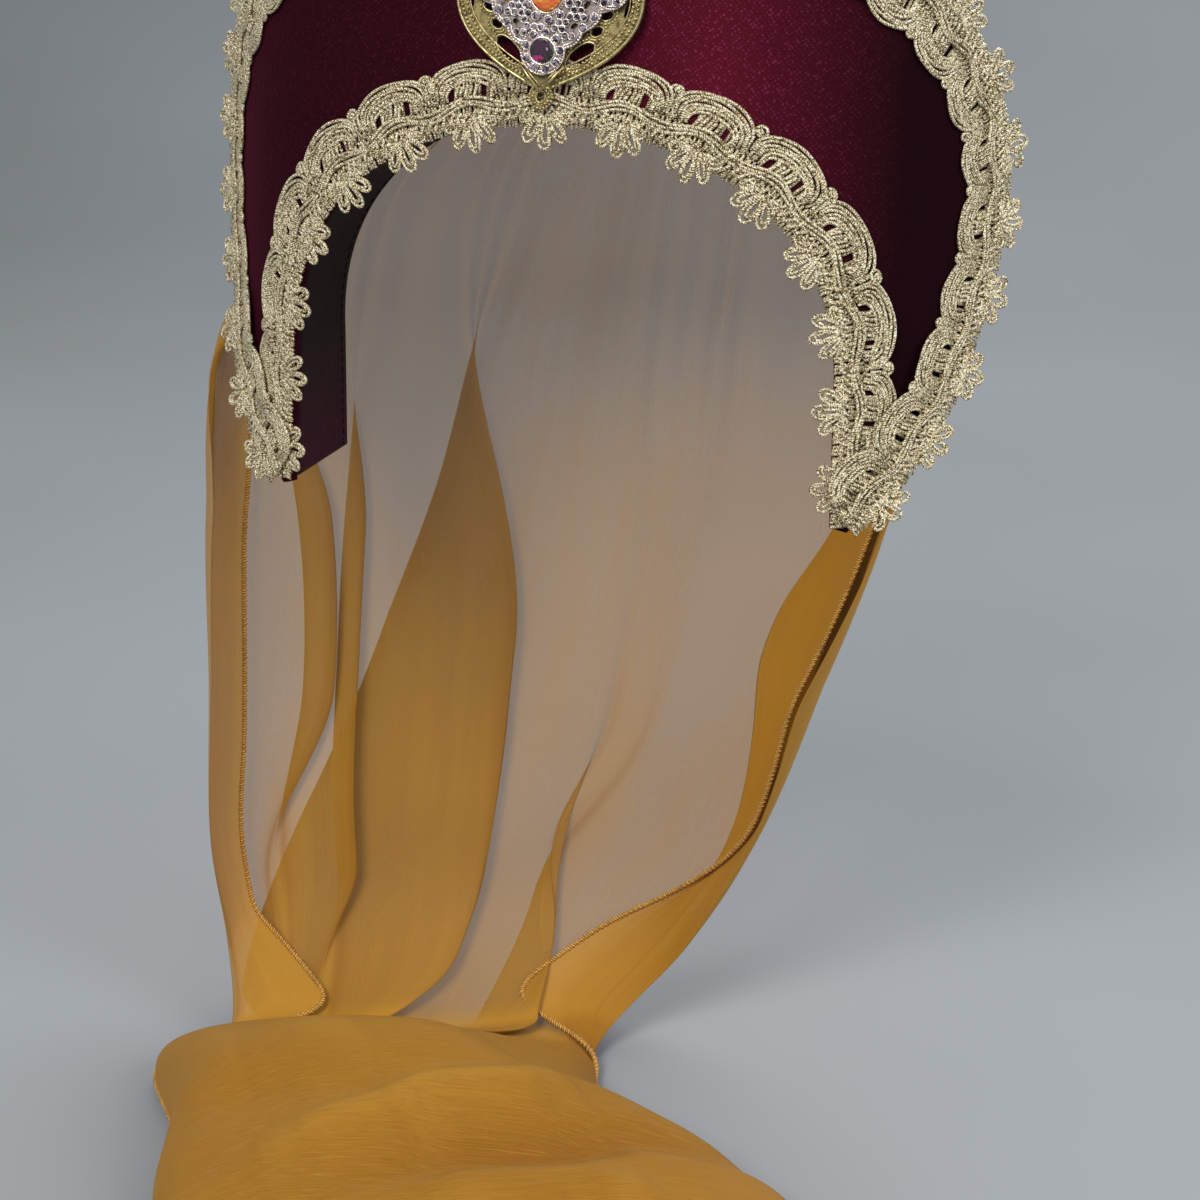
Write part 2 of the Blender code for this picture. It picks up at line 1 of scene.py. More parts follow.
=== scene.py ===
# The French hood's looks: velvet crescent, gimp laces, jewelled brooch and sheer gathered veil.
# Metres, +Z up. The hood faces -Y and its wearer's left is +X.

import math

import bpy
import numpy as np
from mathutils import Matrix, Vector


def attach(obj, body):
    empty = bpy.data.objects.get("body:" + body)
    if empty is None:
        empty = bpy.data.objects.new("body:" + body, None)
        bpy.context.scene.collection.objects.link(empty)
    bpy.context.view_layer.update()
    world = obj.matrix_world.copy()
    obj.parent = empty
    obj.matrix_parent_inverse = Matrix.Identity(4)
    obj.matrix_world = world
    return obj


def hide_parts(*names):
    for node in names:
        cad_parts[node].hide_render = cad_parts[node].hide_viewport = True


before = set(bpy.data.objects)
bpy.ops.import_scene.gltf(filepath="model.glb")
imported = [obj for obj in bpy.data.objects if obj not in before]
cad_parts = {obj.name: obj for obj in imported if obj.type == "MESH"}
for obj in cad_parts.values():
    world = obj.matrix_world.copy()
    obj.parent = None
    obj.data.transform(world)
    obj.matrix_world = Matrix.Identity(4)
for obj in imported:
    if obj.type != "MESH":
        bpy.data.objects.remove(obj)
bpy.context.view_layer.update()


# Meshes from numpy surfaces

def newBundle():
    return {"points": [], "quads": [], "uv": [], "count": 0}


# Adds points (n, 3), quads (m, 4) and a uv for each quad's corners (m, 4, 2) to one mesh in the making.
def addSurface(bundle, points, quads, uv):
    bundle["points"].append(points.reshape(-1, 3))
    bundle["quads"].append(quads.reshape(-1, 4) + bundle["count"])
    bundle["uv"].append(uv.reshape(-1, 2))
    bundle["count"] += bundle["points"][-1].shape[0]


def makePiece(name, bundle, material, smooth=True):
    points = np.concatenate(bundle["points"])
    quads = np.concatenate(bundle["quads"]).astype(np.int32)
    mesh = bpy.data.meshes.new(name)
    mesh.vertices.add(len(points))
    mesh.vertices.foreach_set("co", points.astype(np.float32).ravel())
    mesh.loops.add(quads.size)
    mesh.polygons.add(len(quads))
    mesh.polygons.foreach_set("loop_start", np.arange(0, quads.size, 4, dtype=np.int32))
    mesh.loops.foreach_set("vertex_index", quads.ravel())
    mesh.update(calc_edges=True)
    layer = mesh.uv_layers.new(name="UVMap")
    layer.data.foreach_set("uv", np.concatenate(bundle["uv"]).astype(np.float32).ravel())
    mesh.polygons.foreach_set("use_smooth", np.full(len(quads), smooth))
    mesh.materials.append(material)
    piece = bpy.data.objects.new(name, mesh)
    bpy.context.scene.collection.objects.link(piece)
    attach(piece, "root")
    return piece


# Quads of a grid of points, rows along and columns round; wrapped grids close on themselves.
def gridQuads(rows, columns, wrapRows=False, wrapColumns=False):
    row, column = np.meshgrid(np.arange(rows if wrapRows else rows - 1),
                              np.arange(columns if wrapColumns else columns - 1), indexing="ij")
    nextRow, nextColumn = (row + 1) % rows, (column + 1) % columns
    corners = [(row, column), (nextRow, column), (nextRow, nextColumn), (row, nextColumn)]
    quads = np.stack([r * columns + c for r, c in corners], axis=-1).reshape(-1, 4)
    places = [(row, column), (row + 1, column), (row + 1, column + 1), (row, column + 1)]
    return quads, [(r.ravel(), c.ravel()) for r, c in places]


# Quads that close an even ring of points: a fan of four-cornered faces from its first point.
def capQuads(sides):
    steps = np.arange(1, sides - 2, 2)
    return np.stack((np.zeros_like(steps), steps, steps + 1, steps + 2), axis=-1)


# The caps at both ends of a tube whose rows are even rings of points.
def endCaps(rows, columns):
    cap = capQuads(columns)
    return np.concatenate((cap, cap[:, ::-1] + (rows - 1) * columns))


# Length along a line at each of its points: the running sum of its steps.
def lengthAlong(line):
    return np.concatenate(([0.0], np.cumsum(np.linalg.norm(np.diff(line, axis=0), axis=1))))


# A line, or values that go with it, read at given lengths along it.
def readAt(wanted, length, line):
    return np.stack([np.interp(wanted, length, line[:, axis]) for axis in range(line.shape[1])], axis=-1)


# From 0 to 1 with a soft start and end: 3 * share squared - 2 * share cubed.
def eased(share):
    return share * share * (3 - 2 * share)


def unit(vectors):
    return vectors / np.maximum(np.linalg.norm(vectors, axis=-1, keepdims=True), 1e-12)


# Cords: each point of a path carries a ring, point + radius * (cos(turn) * side + sin(turn) * up),
# where side is square to the path's run and to its up vector. paths is (cords, points, 3).
def addCords(bundle, paths, ups, radius, sides=6, closed=False):
    cords, points = paths.shape[:2]
    if closed:
        run = np.roll(paths, -1, axis=1) - np.roll(paths, 1, axis=1)
        steps = np.roll(paths, -1, axis=1) - paths
    else:
        run = np.gradient(paths, axis=1)
        steps = np.diff(paths, axis=1, append=paths[:, -1:])
    run = unit(run)
    side = unit(np.cross(run, np.broadcast_to(ups, paths.shape)))
    up = np.cross(side, run)
    length = np.cumsum(np.linalg.norm(steps, axis=-1), axis=1)
    length = np.concatenate((np.zeros((cords, 1)), length), axis=1)
    turn = np.arange(sides) * 2 * math.pi / sides
    size = np.broadcast_to(np.asarray(radius, dtype=float), (cords, points, sides))[..., None]
    ring = np.cos(turn)[:, None] * side[:, :, None] + np.sin(turn)[:, None] * up[:, :, None]
    surface = paths[:, :, None] + size * ring
    quads, places = gridQuads(points, sides, closed, True)
    start = np.arange(cords)[:, None, None] * points * sides
    uv = np.stack([np.stack((length[:, r], np.broadcast_to(c / sides, (cords, len(c)))), axis=-1)
                   for r, c in places], axis=2)
    quads = quads[None] + start
    if not closed:
        caps = endCaps(points, sides)[None] + start
        quads = np.concatenate((quads, caps), axis=1)
        uv = np.concatenate((uv, np.zeros((cords, caps.shape[1], 4, 2))), axis=1)
    addSurface(bundle, surface, quads, uv)


# A bead: the points of a 3 by 3 by 3 block of dots pushed out on to a sphere, 24 faces.
def beadTemplate():
    faces = []
    for axis in range(3):
        for end in (-1, 1):
            for first in (-1, 0):
                for second in (-1, 0):
                    corners = [(first, second), (first + 1, second),
                               (first + 1, second + 1), (first, second + 1)]
                    if end < 0:
                        corners.reverse()
                    faces.append([np.roll((end, a, b), axis) for a, b in corners])
    corners = np.array(faces).reshape(-1, 3)
    dots, index = np.unique(corners, axis=0, return_inverse=True)
    return unit(dots.astype(float)), index.reshape(-1, 4)


beadDots, beadFaces = beadTemplate()


def addBeads(bundle, centres, radius):
    centres = np.asarray(centres, dtype=float)
    radii = np.broadcast_to(np.asarray(radius, dtype=float), (len(centres),))
    points = centres[:, None] + radii[:, None, None] * beadDots[None]
    quads = beadFaces[None] + np.arange(len(centres))[:, None, None] * len(beadDots)
    addSurface(bundle, points, quads, np.zeros(quads.shape + (2,)))


# Cut stones: rings of facets about a middle, ring k at height up[k] and scaled by grow[k], every
# other ring turned by half a facet where asked; a flat table on top and a flat seat below.
def addStones(bundle, centres, halfX, halfY, height, sides, rings, turned=False):
    centres = np.asarray(centres, dtype=float)
    turn = np.arange(sides) * 2 * math.pi / sides
    surface = []
    for step, (up, grow) in enumerate(rings):
        angle = turn + (math.pi / sides if turned and step % 2 else 0.0)
        surface.append(np.stack((halfX * grow * np.cos(angle), halfY * grow * np.sin(angle),
                                 np.full(sides, height * up)), axis=-1))
    points = centres[:, None, None] + np.stack(surface)[None]
    quads, _ = gridQuads(len(rings), sides, False, True)
    quads = quads[:, ::-1]
    cap = capQuads(sides)
    quads = np.concatenate((quads, cap[:, ::-1], cap + (len(rings) - 1) * sides))
    quads = quads[None] + np.arange(len(centres))[:, None, None] * len(rings) * sides
    addSurface(bundle, points, quads, np.zeros(quads.shape + (2,)))


# Materials

def newMaterial(name):
    material = bpy.data.materials.new(name)
    material.use_nodes = True
    return material, material.node_tree, material.node_tree.nodes["Principled BSDF"]


# One node with its settings, and its inputs set or linked by name or number.
def addNode(tree, kind, settings=None, inputs=None):
    node = tree.nodes.new("ShaderNode" + kind)
    for key, value in (settings or {}).items():
        setattr(node, key, value)
    for key, value in (inputs or {}).items():
        if isinstance(value, bpy.types.NodeSocket):
            tree.links.new(value, node.inputs[key])
        else:
            node.inputs[key].default_value = value
    return node


def setShader(shader, values):
    for key, value in values.items():
        shader.inputs[key].default_value = value


def objectPlace(tree, scale=(1, 1, 1), turn=(0, 0, 0)):
    place = addNode(tree, "TexCoord").outputs["Object"]
    return addNode(tree, "Mapping", None, {"Vector": place, "Scale": scale, "Rotation": turn}).outputs[0]


def uvPlace(tree, scale=(1, 1, 1), turn=(0, 0, 0)):
    place = addNode(tree, "UVMap", {"uv_map": "UVMap"}).outputs[0]
    return addNode(tree, "Mapping", None, {"Vector": place, "Scale": scale, "Rotation": turn}).outputs[0]


def noise(tree, place, scale, detail=3.0, rough=0.5):
    return addNode(tree, "TexNoise", None, {"Vector": place, "Scale": scale, "Detail": detail,
                                            "Roughness": rough}).outputs["Fac"]


def bands(tree, place, way, scale, distortion, detail=2.0, detailScale=1.0):
    return addNode(tree, "TexWave", {"wave_type": "BANDS", "bands_direction": way},
                   {"Vector": place, "Scale": scale, "Distortion": distortion, "Detail": detail,
                    "Detail Scale": detailScale}).outputs["Fac"]


def maths(tree, operation, first, second=0.0, clamp=False):
    settings = {"operation": operation, "use_clamp": clamp}
    return addNode(tree, "Math", settings, {0: first, 1: second}).outputs[0]


# Value from the range (first, last) to the range (low, high), clamped.
def spread(tree, value, first, last, low=0.0, high=1.0):
    return addNode(tree, "MapRange", None, {0: value, 1: first, 2: last, 3: low, 4: high}).outputs[0]


def placeAxis(tree, axis):
    return addNode(tree, "SeparateXYZ", None, {"Vector": objectPlace(tree)}).outputs[axis]


def attribute(tree, name):
    return addNode(tree, "Attribute", {"attribute_name": name}).outputs["Fac"]


def ramp(tree, factor, stops):
    node = addNode(tree, "ValToRGB", None, {"Fac": factor})
    for _ in stops[2:]:
        node.color_ramp.elements.new(0.5)
    for element, (place, colour) in zip(node.color_ramp.elements, stops):
        element.position = place
        element.color = (*colour, 1.0)
    return node.outputs["Color"]


def mixColour(tree, factor, first, second):
    sides = [(*side, 1.0) if isinstance(side, tuple) else side for side in (first, second)]
    return addNode(tree, "Mix", {"data_type": "RGBA"}, {0: factor, 6: sides[0], 7: sides[1]}).outputs[2]


def bump(tree, height, strength, distance):
    inputs = {"Height": height, "Strength": strength, "Distance": distance}
    return addNode(tree, "Bump", None, inputs).outputs[0]


# The board: a flat pattern of (across, height), bent round an upright, leaning surface.

board = {
    "front": -0.0211, "thick": 0.003, "lean": 0.118,            # where the middle stands and how it leans
    "sweep": 0.0429, "sweepAt": 0.116, "sweepPower": 3.83,      # how the sides fall back
    "archHalf": 0.0864, "archRise": 0.07335, "archPower": 2.13, "archFoot": 0.0875, "tipHeight": -0.1125,
    "rimHalf": 0.1435, "rimLine": -0.019, "rimRise": 0.096, "rimPower": 1.9,
    "rimTip": 0.0930, "rimTipHeight": -0.1145, "rimFall": 0.92,
}
clearance = 0.00035          # between the board and what lies on it


# Half a superellipse from its top: half * sin(angle) ** (2 / power), rise * cos(angle) ** (2 / power).
def superEllipse(half, rise, power, angle):
    return half * np.sin(angle) ** (2 / power), rise * np.abs(np.cos(angle)) ** (2 / power)


def mirrored(half):
    return np.concatenate((half[:0:-1] * (-1, 1), half))


def innerEdge():
    across, height = superEllipse(board["archHalf"], board["archRise"], board["archPower"],
                                  np.linspace(0.0, math.pi / 2, 120))
    arch = np.stack((across, height - board["archRise"]), axis=1)
    return mirrored(np.concatenate((arch, [(board["archFoot"], board["tipHeight"])])))


def outerEdge():
    across, height = superEllipse(board["rimHalf"], board["rimRise"], board["rimPower"],
                                  np.linspace(0.0, math.pi / 2, 120))
    fall = np.linspace(0.0, 1.0, 80)[1:]
    side = board["rimTip"] + (board["rimHalf"] - board["rimTip"]) * (1 - fall ** 2) ** board["rimFall"]
    low = np.stack((side, board["rimLine"] + (board["rimTipHeight"] - board["rimLine"]) * fall), axis=1)
    return mirrored(np.concatenate((np.stack((across, height + board["rimLine"]), axis=1), low)))


# A line read at shares of its length, with the unit vector square to it on its left.
def readLine(line, share):
    length = lengthAlong(line)
    even = np.linspace(0.0, length[-1], 1200)
    line = readAt(even, length, line)
    run = unit(np.gradient(line, axis=0))
    place = share * length[-1]
    square = readAt(place, even, np.stack((-run[:, 1], run[:, 0]), axis=1))
    return readAt(place, even, line), square, length[-1]


def sweepSlope(x):
    steep = board["sweep"] * board["sweepPower"] / board["sweepAt"]
    return np.sign(x) * steep * np.abs(x / board["sweepAt"]) ** (board["sweepPower"] - 1)


# Length along the bent board against x: the running sum of the square root of 1 + slope squared.
bendX = np.linspace(0.0, 0.16, 1601)
bendStep = np.sqrt(1 + sweepSlope(bendX) ** 2)
bendAcross = np.concatenate(([0.0], np.cumsum((bendStep[1:] + bendStep[:-1]) / 2 * np.diff(bendX))))


def boardDepth(x, z):
    swept = board["sweep"] * np.abs(x / board["sweepAt"]) ** board["sweepPower"]
    return board["front"] + swept + board["lean"] * z


# Pattern point to space: x from the length table, y on the swept and leaning front, then out along
# the front's own normal (slope, -1, lean) divided by its length.
def bend(pattern, out):
    across, z = pattern[..., 0], pattern[..., 1]
    x = np.sign(across) * np.interp(np.abs(across), bendAcross, bendX)
    slope = sweepSlope(x)
    size = np.sqrt(slope ** 2 + 1 + board["lean"] ** 2)
    return np.stack((x + out * slope / size, boardDepth(x, z) - out / size,
                     z + out * board["lean"] / size), axis=-1)


# Velvet crescent

velvet = {
    "along": 420, "front": 44, "round": 6, "back": 10,     # points of the cover
    "padding": 0.00028,                                    # how far the front crowns
    # the deep tone is the painted shade the velvet darkens to towards its sides; the glint tone is a painted
    # highlight
    "colour": (0.104, 0.0056, 0.0180), "worn": 0.6, "deep": (0.006, 0.0006, 0.0018),
    "glow": (0.60, 0.045, 0.15), "glint": (0.34, 0.045, 0.11), "glints": 0.45,
    "rows": 290.0, "rowTurn": 38, "rowShare": 0.22, "specks": 900.0, "clouds": 28.0,
    "litFrom": -0.13, "litTo": 0.13,                       # where the painted light and shade across the crescent starts and ends
    "lit": ((0.0, 0.10), (0.35, 0.25), (0.55, 0.55), (0.68, 1.0), (0.88, 0.03)),
}


def velvetMaterial():
    material, tree, shader = newMaterial("burgundy_velvet")
    weave = objectPlace(tree, (1, 1, 1), (0, math.radians(velvet["rowTurn"]), 0))
    rows = [bands(tree, weave, way, velvet["rows"], 2.2, 1.0, 2.0) for way in ("X", "Z")]
    specks = noise(tree, weave, velvet["specks"], 2.0, 0.6)
    woven = maths(tree, "MULTIPLY", maths(tree, "MULTIPLY", rows[0], rows[1]), velvet["rowShare"])
    glints = ramp(tree, maths(tree, "ADD", woven, specks), [(0.62, (0, 0, 0)), (0.82, (1, 1, 1))])
    cloud = noise(tree, objectPlace(tree), velvet["clouds"], 4.0, 0.55)
    # Painted light and shade: the velvet is brightest just right of the middle and darkens to deep towards
    # both sides, and its painted glints show most where it is lit.
    sideways = spread(tree, placeAxis(tree, "X"), velvet["litFrom"], velvet["litTo"])
    lit = ramp(tree, sideways, [(place, (value,) * 3) for place, value in velvet["lit"]])
    worn = tuple(value * velvet["worn"] for value in velvet["colour"])
    base = mixColour(tree, cloud, worn, velvet["colour"])
    base = mixColour(tree, lit, velvet["deep"], base)
    shown = maths(tree, "MULTIPLY", maths(tree, "MULTIPLY", glints, lit), velvet["glints"])
    colour = mixColour(tree, shown, base, velvet["glint"])
    tree.links.new(colour, shader.inputs["Base Color"])
    pile = maths(tree, "ADD", specks, maths(tree, "MULTIPLY", cloud, 1.5))
    tree.links.new(bump(tree, pile, 0.55, 0.0006), shader.inputs["Normal"])
    setShader(shader, {"Roughness": 0.8, "Sheen Weight": 0.26, "Sheen Roughness": 0.36,
                       "Sheen Tint": (*velvet["glow"], 1), "Specular IOR Level": 0.05})
    return material


# A flat round-edged profile carried from tip to tip: over the front from the inner to the outer edge,
# cos and sin of half a turn round it, back over the rear and half a turn again. The front crowns by
# padding * sin(pi * share) ** 0.8.
def makeVelvet():
    share = np.linspace(0.0, 1.0, velvet["along"])
    inner, _, _ = readLine(innerEdge(), share)
    outer, _, _ = readLine(outerEdge(), share)
    width = np.hypot(*(outer - inner).T)[:, None]
    half = board["thick"] / 2
    over = np.linspace(0.0, 1.0, velvet["front"])
    bowed = np.sin(np.linspace(0.0, math.pi, velvet["round"] + 2)[1:-1])
    level = np.cos(np.linspace(0.0, math.pi, velvet["round"] + 2)[1:-1])
    under = np.linspace(1.0, 0.0, velvet["back"])
    place = np.concatenate((over, np.ones(velvet["round"]), under, np.zeros(velvet["round"])))
    past = np.concatenate((over * 0, bowed, under * 0, -bowed))
    out = np.concatenate((over * 0 + 1, level, under * 0 - 1, -level)) * half - half
    crown = np.sin(math.pi * over) ** 0.8 * velvet["padding"]
    out = out + np.concatenate((crown, np.zeros(len(place) - len(over))))
    step = half + place[None] * (width - 2 * half) + past[None] * half
    pattern = inner[:, None] + (outer - inner)[:, None] * (step / width)[..., None]
    points = bend(pattern, out[None])
    rows, columns = points.shape[:2]
    quads, places = gridQuads(rows, columns, False, True)
    around = np.concatenate((np.linspace(0, 0.1, columns), [0.1]))
    uv = np.stack([np.stack((share[r] * 0.5, around[c]), axis=-1) for r, c in places], axis=1)
    caps = endCaps(rows, columns)
    quads = np.concatenate((quads, caps))
    uv = np.concatenate((uv, np.zeros((len(caps), 4, 2))))
    bundle = newBundle()
    addSurface(bundle, points, quads[:, ::-1], uv[:, ::-1])
    return makePiece("velvet_cover", bundle, velvetMaterial())


cover = makeVelvet()
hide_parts("crescent")
print("velvet cover made")


# Head band lining

lining = {
    "along": 260, "deep": 14, "thick": 0.002, "gap": 0.00055, "rear": 0.024,
    "stitch": 0.0034, "thread": 0.00022, "stitchIn": 0.004, "stitchSunk": 0.0001,
    "fadeFrom": -0.070, "fadeTo": -0.112,                  # heights between which black cloth turns to velvet
    "black": ((0.006, 0.004, 0.005), (0.018, 0.012, 0.014)),
    "wine": ((0.020, 0.003, 0.009), (0.050, 0.006, 0.020)),
}


def liningMaterial():
    material, tree, shader = newMaterial("dark_lining")
    place = objectPlace(tree)
    fade = spread(tree, placeAxis(tree, "Z"), lining["fadeFrom"], lining["fadeTo"])
    ribs = bands(tree, place, "Y", 260.0, 0.6)
    fuzz = noise(tree, place, 700.0, 3.0, 0.6)
    black, wine = (mixColour(tree, fuzz, *lining[tone]) for tone in ("black", "wine"))
    tree.links.new(mixColour(tree, fade, black, wine), shader.inputs["Base Color"])
    tree.links.new(bump(tree, maths(tree, "ADD", ribs, fuzz), 0.4, 0.0003), shader.inputs["Normal"])
    setShader(shader, {"Roughness": 0.85, "Sheen Weight": 0.10, "Sheen Roughness": 0.5,
                       "Sheen Tint": (0.4, 0.3, 0.28, 1), "Specular IOR Level": 0.1})
    return material


# A flat oval profile swept along the arch: depth runs from the board's back to the rear edge and
# round again, the wall's thickness outwards with rounded edges.
def makeLining():
    share = np.linspace(0.0, 1.0, lining["along"])
    foot, _, length = readLine(innerEdge(), share)
    edge = bend(foot, 0.0)
    flat = edge[:, (0, 2)]
    run = unit(np.gradient(flat, axis=0))
    away = np.stack((-run[:, 1], run[:, 0]), axis=1)
    outer = flat + away * lining["thick"]
    slope = np.sqrt(1 + sweepSlope(outer[:, 0]) ** 2 + board["lean"] ** 2)
    front = boardDepth(outer[:, 0], outer[:, 1]) + board["thick"] * slope + lining["gap"]
    half = lining["thick"] / 2
    over = np.linspace(0.0, 1.0, lining["deep"])
    arc = np.linspace(0.0, math.pi, 7)[1:-1]
    place = np.concatenate((over, np.ones(5), over[::-1], np.zeros(5)))
    past = np.concatenate((over * 0, np.sin(arc), over * 0, -np.sin(arc))) * half
    level = np.concatenate((over * 0 + 1, np.cos(arc), over * 0 - 1, -np.cos(arc)))
    front = front[:, None]
    depth = front + half + place[None] * (lining["rear"] - front - 2 * half) + past[None]
    across = flat[:, None] + away[:, None] * (half + level * half)[None, :, None]
    points = np.stack((across[..., 0], depth, across[..., 1]), axis=-1)
    rows, columns = points.shape[:2]
    quads, _ = gridQuads(rows, columns, False, True)
    quads = np.concatenate((quads, endCaps(rows, columns)))
    bundle = newBundle()
    addSurface(bundle, points, quads, np.zeros(quads.shape + (2,)))

    # the row of stitches on the inside, each a short straight cord sunk a little in the cloth
    count = int(length / lining["stitch"])
    middles = (np.arange(count) + 0.5) / count
    ends = middles[:, None] + np.linspace(-0.32, 0.32, 5)[None] / count
    foot, square, _ = readLine(innerEdge(), ends)
    line = bend(foot, 0.0)
    dip = np.cos(np.linspace(-1.2, 1.2, 5)) * lining["thread"] * 1.2
    flatWay = unit(np.stack((-square[..., 0], np.zeros(ends.shape), -square[..., 1]), axis=-1))
    rear = np.full(ends.shape, lining["rear"] - lining["stitchIn"])
    paths = np.stack((line[..., 0], rear, line[..., 2]), axis=-1)
    paths = paths + flatWay * (dip - lining["stitchSunk"])[None, :, None]
    addCords(bundle, paths, flatWay, lining["thread"], 4)
    return makePiece("band_lining", bundle, liningMaterial())


band = makeLining()
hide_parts("head_band")
print("lining made")


# Laces: metal gimp worked into scallops, a braided core, a zigzag footing and fans of loops.
# Each cord is drawn in the strip's own measures: repeats along, metres across from the board's
# edge, metres above the velvet; a strip then follows the edge and bends with the board.

lace = {
    "innerRepeats": 15, "outerRepeats": 27,
    "width": 0.0175, "scallop": 0.0016, "cord": 0.00054, "sides": 6,
    "climb": 0.00175, "climbFrom": 0.068, "climbOver": 0.018,      # the outer lace over the inner at the tips
    "arcs": 6, "arcStep": 0.00106, "arcFoot": 0.0104, "fanMiddle": 0.46,
    "fanRoot": 0.0026, "fanSpread": 0.0021, "repeat": 0.0222,
    "flare": 0.0062, "flareFrom": 0.004, "flareOver": 0.011,       # how the outer fans stand off
    "wobble": 0.00022, "slots": (0.25, 0.69), "outerReach": 0.66, "groundSides": 4,
    "pale": (1.0, 0.93, 0.71), "warm": (0.86, 0.735, 0.46), "gold": (0.50, 0.39, 0.20),
    "shade": (0.13, 0.085, 0.035),
}


def gimpMaterial():
    material, tree, shader = newMaterial("antique_gold_gimp")
    twist = bands(tree, uvPlace(tree, (1400, 2.0, 1)), "DIAGONAL", 0.62, 1.2, 1.0)
    specks = noise(tree, objectPlace(tree), 1500.0, 2.0, 0.65)
    patches = noise(tree, objectPlace(tree), 130.0, 2.0, 0.5)
    light = maths(tree, "ADD", maths(tree, "MULTIPLY", twist, 0.30), maths(tree, "MULTIPLY", specks, 2.1))
    light = maths(tree, "SUBTRACT", light, 0.62)
    light = maths(tree, "ADD", light, maths(tree, "MULTIPLY", maths(tree, "SUBTRACT", patches, 0.5), 0.25))
    colour = ramp(tree, light, [(0.34, lace["shade"]), (0.50, lace["gold"]), (0.64, lace["warm"]),
                                (0.80, lace["pale"])])
    tree.links.new(colour, shader.inputs["Base Color"])
    tree.links.new(spread(tree, specks, 0.3, 0.7, 0.6, 0.28), shader.inputs["Roughness"])
    tree.links.new(bump(tree, light, 0.8, 0.0004), shader.inputs["Normal"])
    setShader(shader, {"Metallic": 0.55, "Specular IOR Level": 0.6})
    return material


# Strip measures to space, and the board's own normal there.
def layLace(line, repeats, normalSide, climbs, along, across, above):
    foot, square, length = readLine(line, along / repeats)
    out = clearance + above
    if climbs:
        across = np.where(across < 0, across * lace["outerReach"], across)
        fromTip = np.minimum(along, repeats - along) / repeats * length
        climb = np.clip((lace["climbFrom"] - fromTip) / lace["climbOver"], 0.0, 1.0)
        out = out + lace["climb"] * eased(climb)
        out = out + lace["flare"] * np.clip((lace["flareFrom"] - across) / lace["flareOver"], 0.0, 1.2) ** 1.5
    pattern = foot + square * normalSide * across[..., None]
    return bend(pattern, out), unit(bend(pattern, out + 0.001) - bend(pattern, out))


# The cords of one repeat, as (closed, along, across, above) with along in repeats.
def laceCords():
    cords = []
    bow = np.linspace(0.0, math.pi, 19)
    for arc in range(lace["arcs"]):                       # scallop arcs, the outermost first
        half = 0.478 - 0.036 * arc
        foot = lace["arcFoot"] - 0.0004 * arc
        reach = lace["width"] + lace["scallop"] - lace["cord"] - foot - lace["arcStep"] * arc
        along = 0.5 - half * np.cos(bow) * np.abs(np.cos(bow)) ** 0.12
        cords.append((False, along, foot + reach * np.sin(bow) ** 0.62, 0.0008 - 0.00006 * arc + 0 * bow))
    bar = np.linspace(0.0, 1.0, 6)
    for place in (0.335, 0.395, 0.455, 0.515, 0.575):       # leaning bars between the two slots
        along = place + 0.07 * (bar - 0.5)
        cords.append((False, along, 0.0078 + 0.0042 * bar, 0.0006 + 0.0003 * np.sin(math.pi * bar)))
    cords.append((False, 0.79 + 0.05 * (bar - 0.5), 0.0078 + 0.0036 * bar, 0.0006 + 0 * bar))
    ring = np.linspace(0.0, 2 * math.pi, 12, endpoint=False)
    cords.append((True, 0.066 * np.cos(ring), 0.0158 + 0.00135 * np.sin(ring), 0.0008 + 0 * ring))
    cords.append((True, 0.026 * np.cos(ring), 0.0158 + 0.0005 * np.sin(ring), 0.0010 + 0 * ring))
    stem = np.linspace(0.0, 1.0, 6)
    for aside in (-0.030, 0.030):
        cords.append((False, aside + 0.0 * stem, 0.0085 + 0.0056 * stem, 0.0006 + 0 * stem))
    for phase in (0.0, math.pi):                            # footing, two zigzags across each other
        step = np.linspace(0.0, 1.0, 34)
        wave = np.sin(2 * math.pi * 5 * step + phase)
        cords.append((False, step + 0.012 * np.sin(4 * math.pi * 5 * step), 0.0030 + 0.0019 * wave,
                      0.0007 + 0.0004 * np.sin(2 * math.pi * 5 * step + phase + 1.2)))
    for lane in range(3):                                   # the braided core, a slow wave
        step = np.linspace(0.0, 1.0, 22)
        across = 0.0064 + (lane - 1) * 0.00108 + 0.0013 * np.sin(2 * math.pi * (step - 0.21))
        cords.append((False, step, across, 0.0011 + 0.0001 * lane + 0 * step))
    return cords + fanLoops() + groundBars()


# The close ground under the cords: short straight bars across the strip, from the footing's edge up
# to the core and from the core up to half of the scallops' arcs, with the slots left open.
def groundBars():
    bars = []
    step = np.linspace(0.0, 1.0, 3)
    for place in np.arange(0.025, 1.0, 0.05):
        bars.append((False, place + 0.01 * step, -0.0006 + 0.0088 * step, 0.00025 + 0 * step))
        inSlot = min(abs(place + 0.01 - slot) for slot in lace["slots"]) < 0.045
        top = 0.0082 + 0.0078 * np.sin(math.pi * place) ** 0.7
        foot = 0.0124 if inSlot else 0.0082
        if top > foot + 0.001:
            lean = 0.05 * (step - 0.5)
            bars.append((False, place + 0.01 + lean, foot + (top - foot) * step, 0.00025 + 0 * step))
    return bars


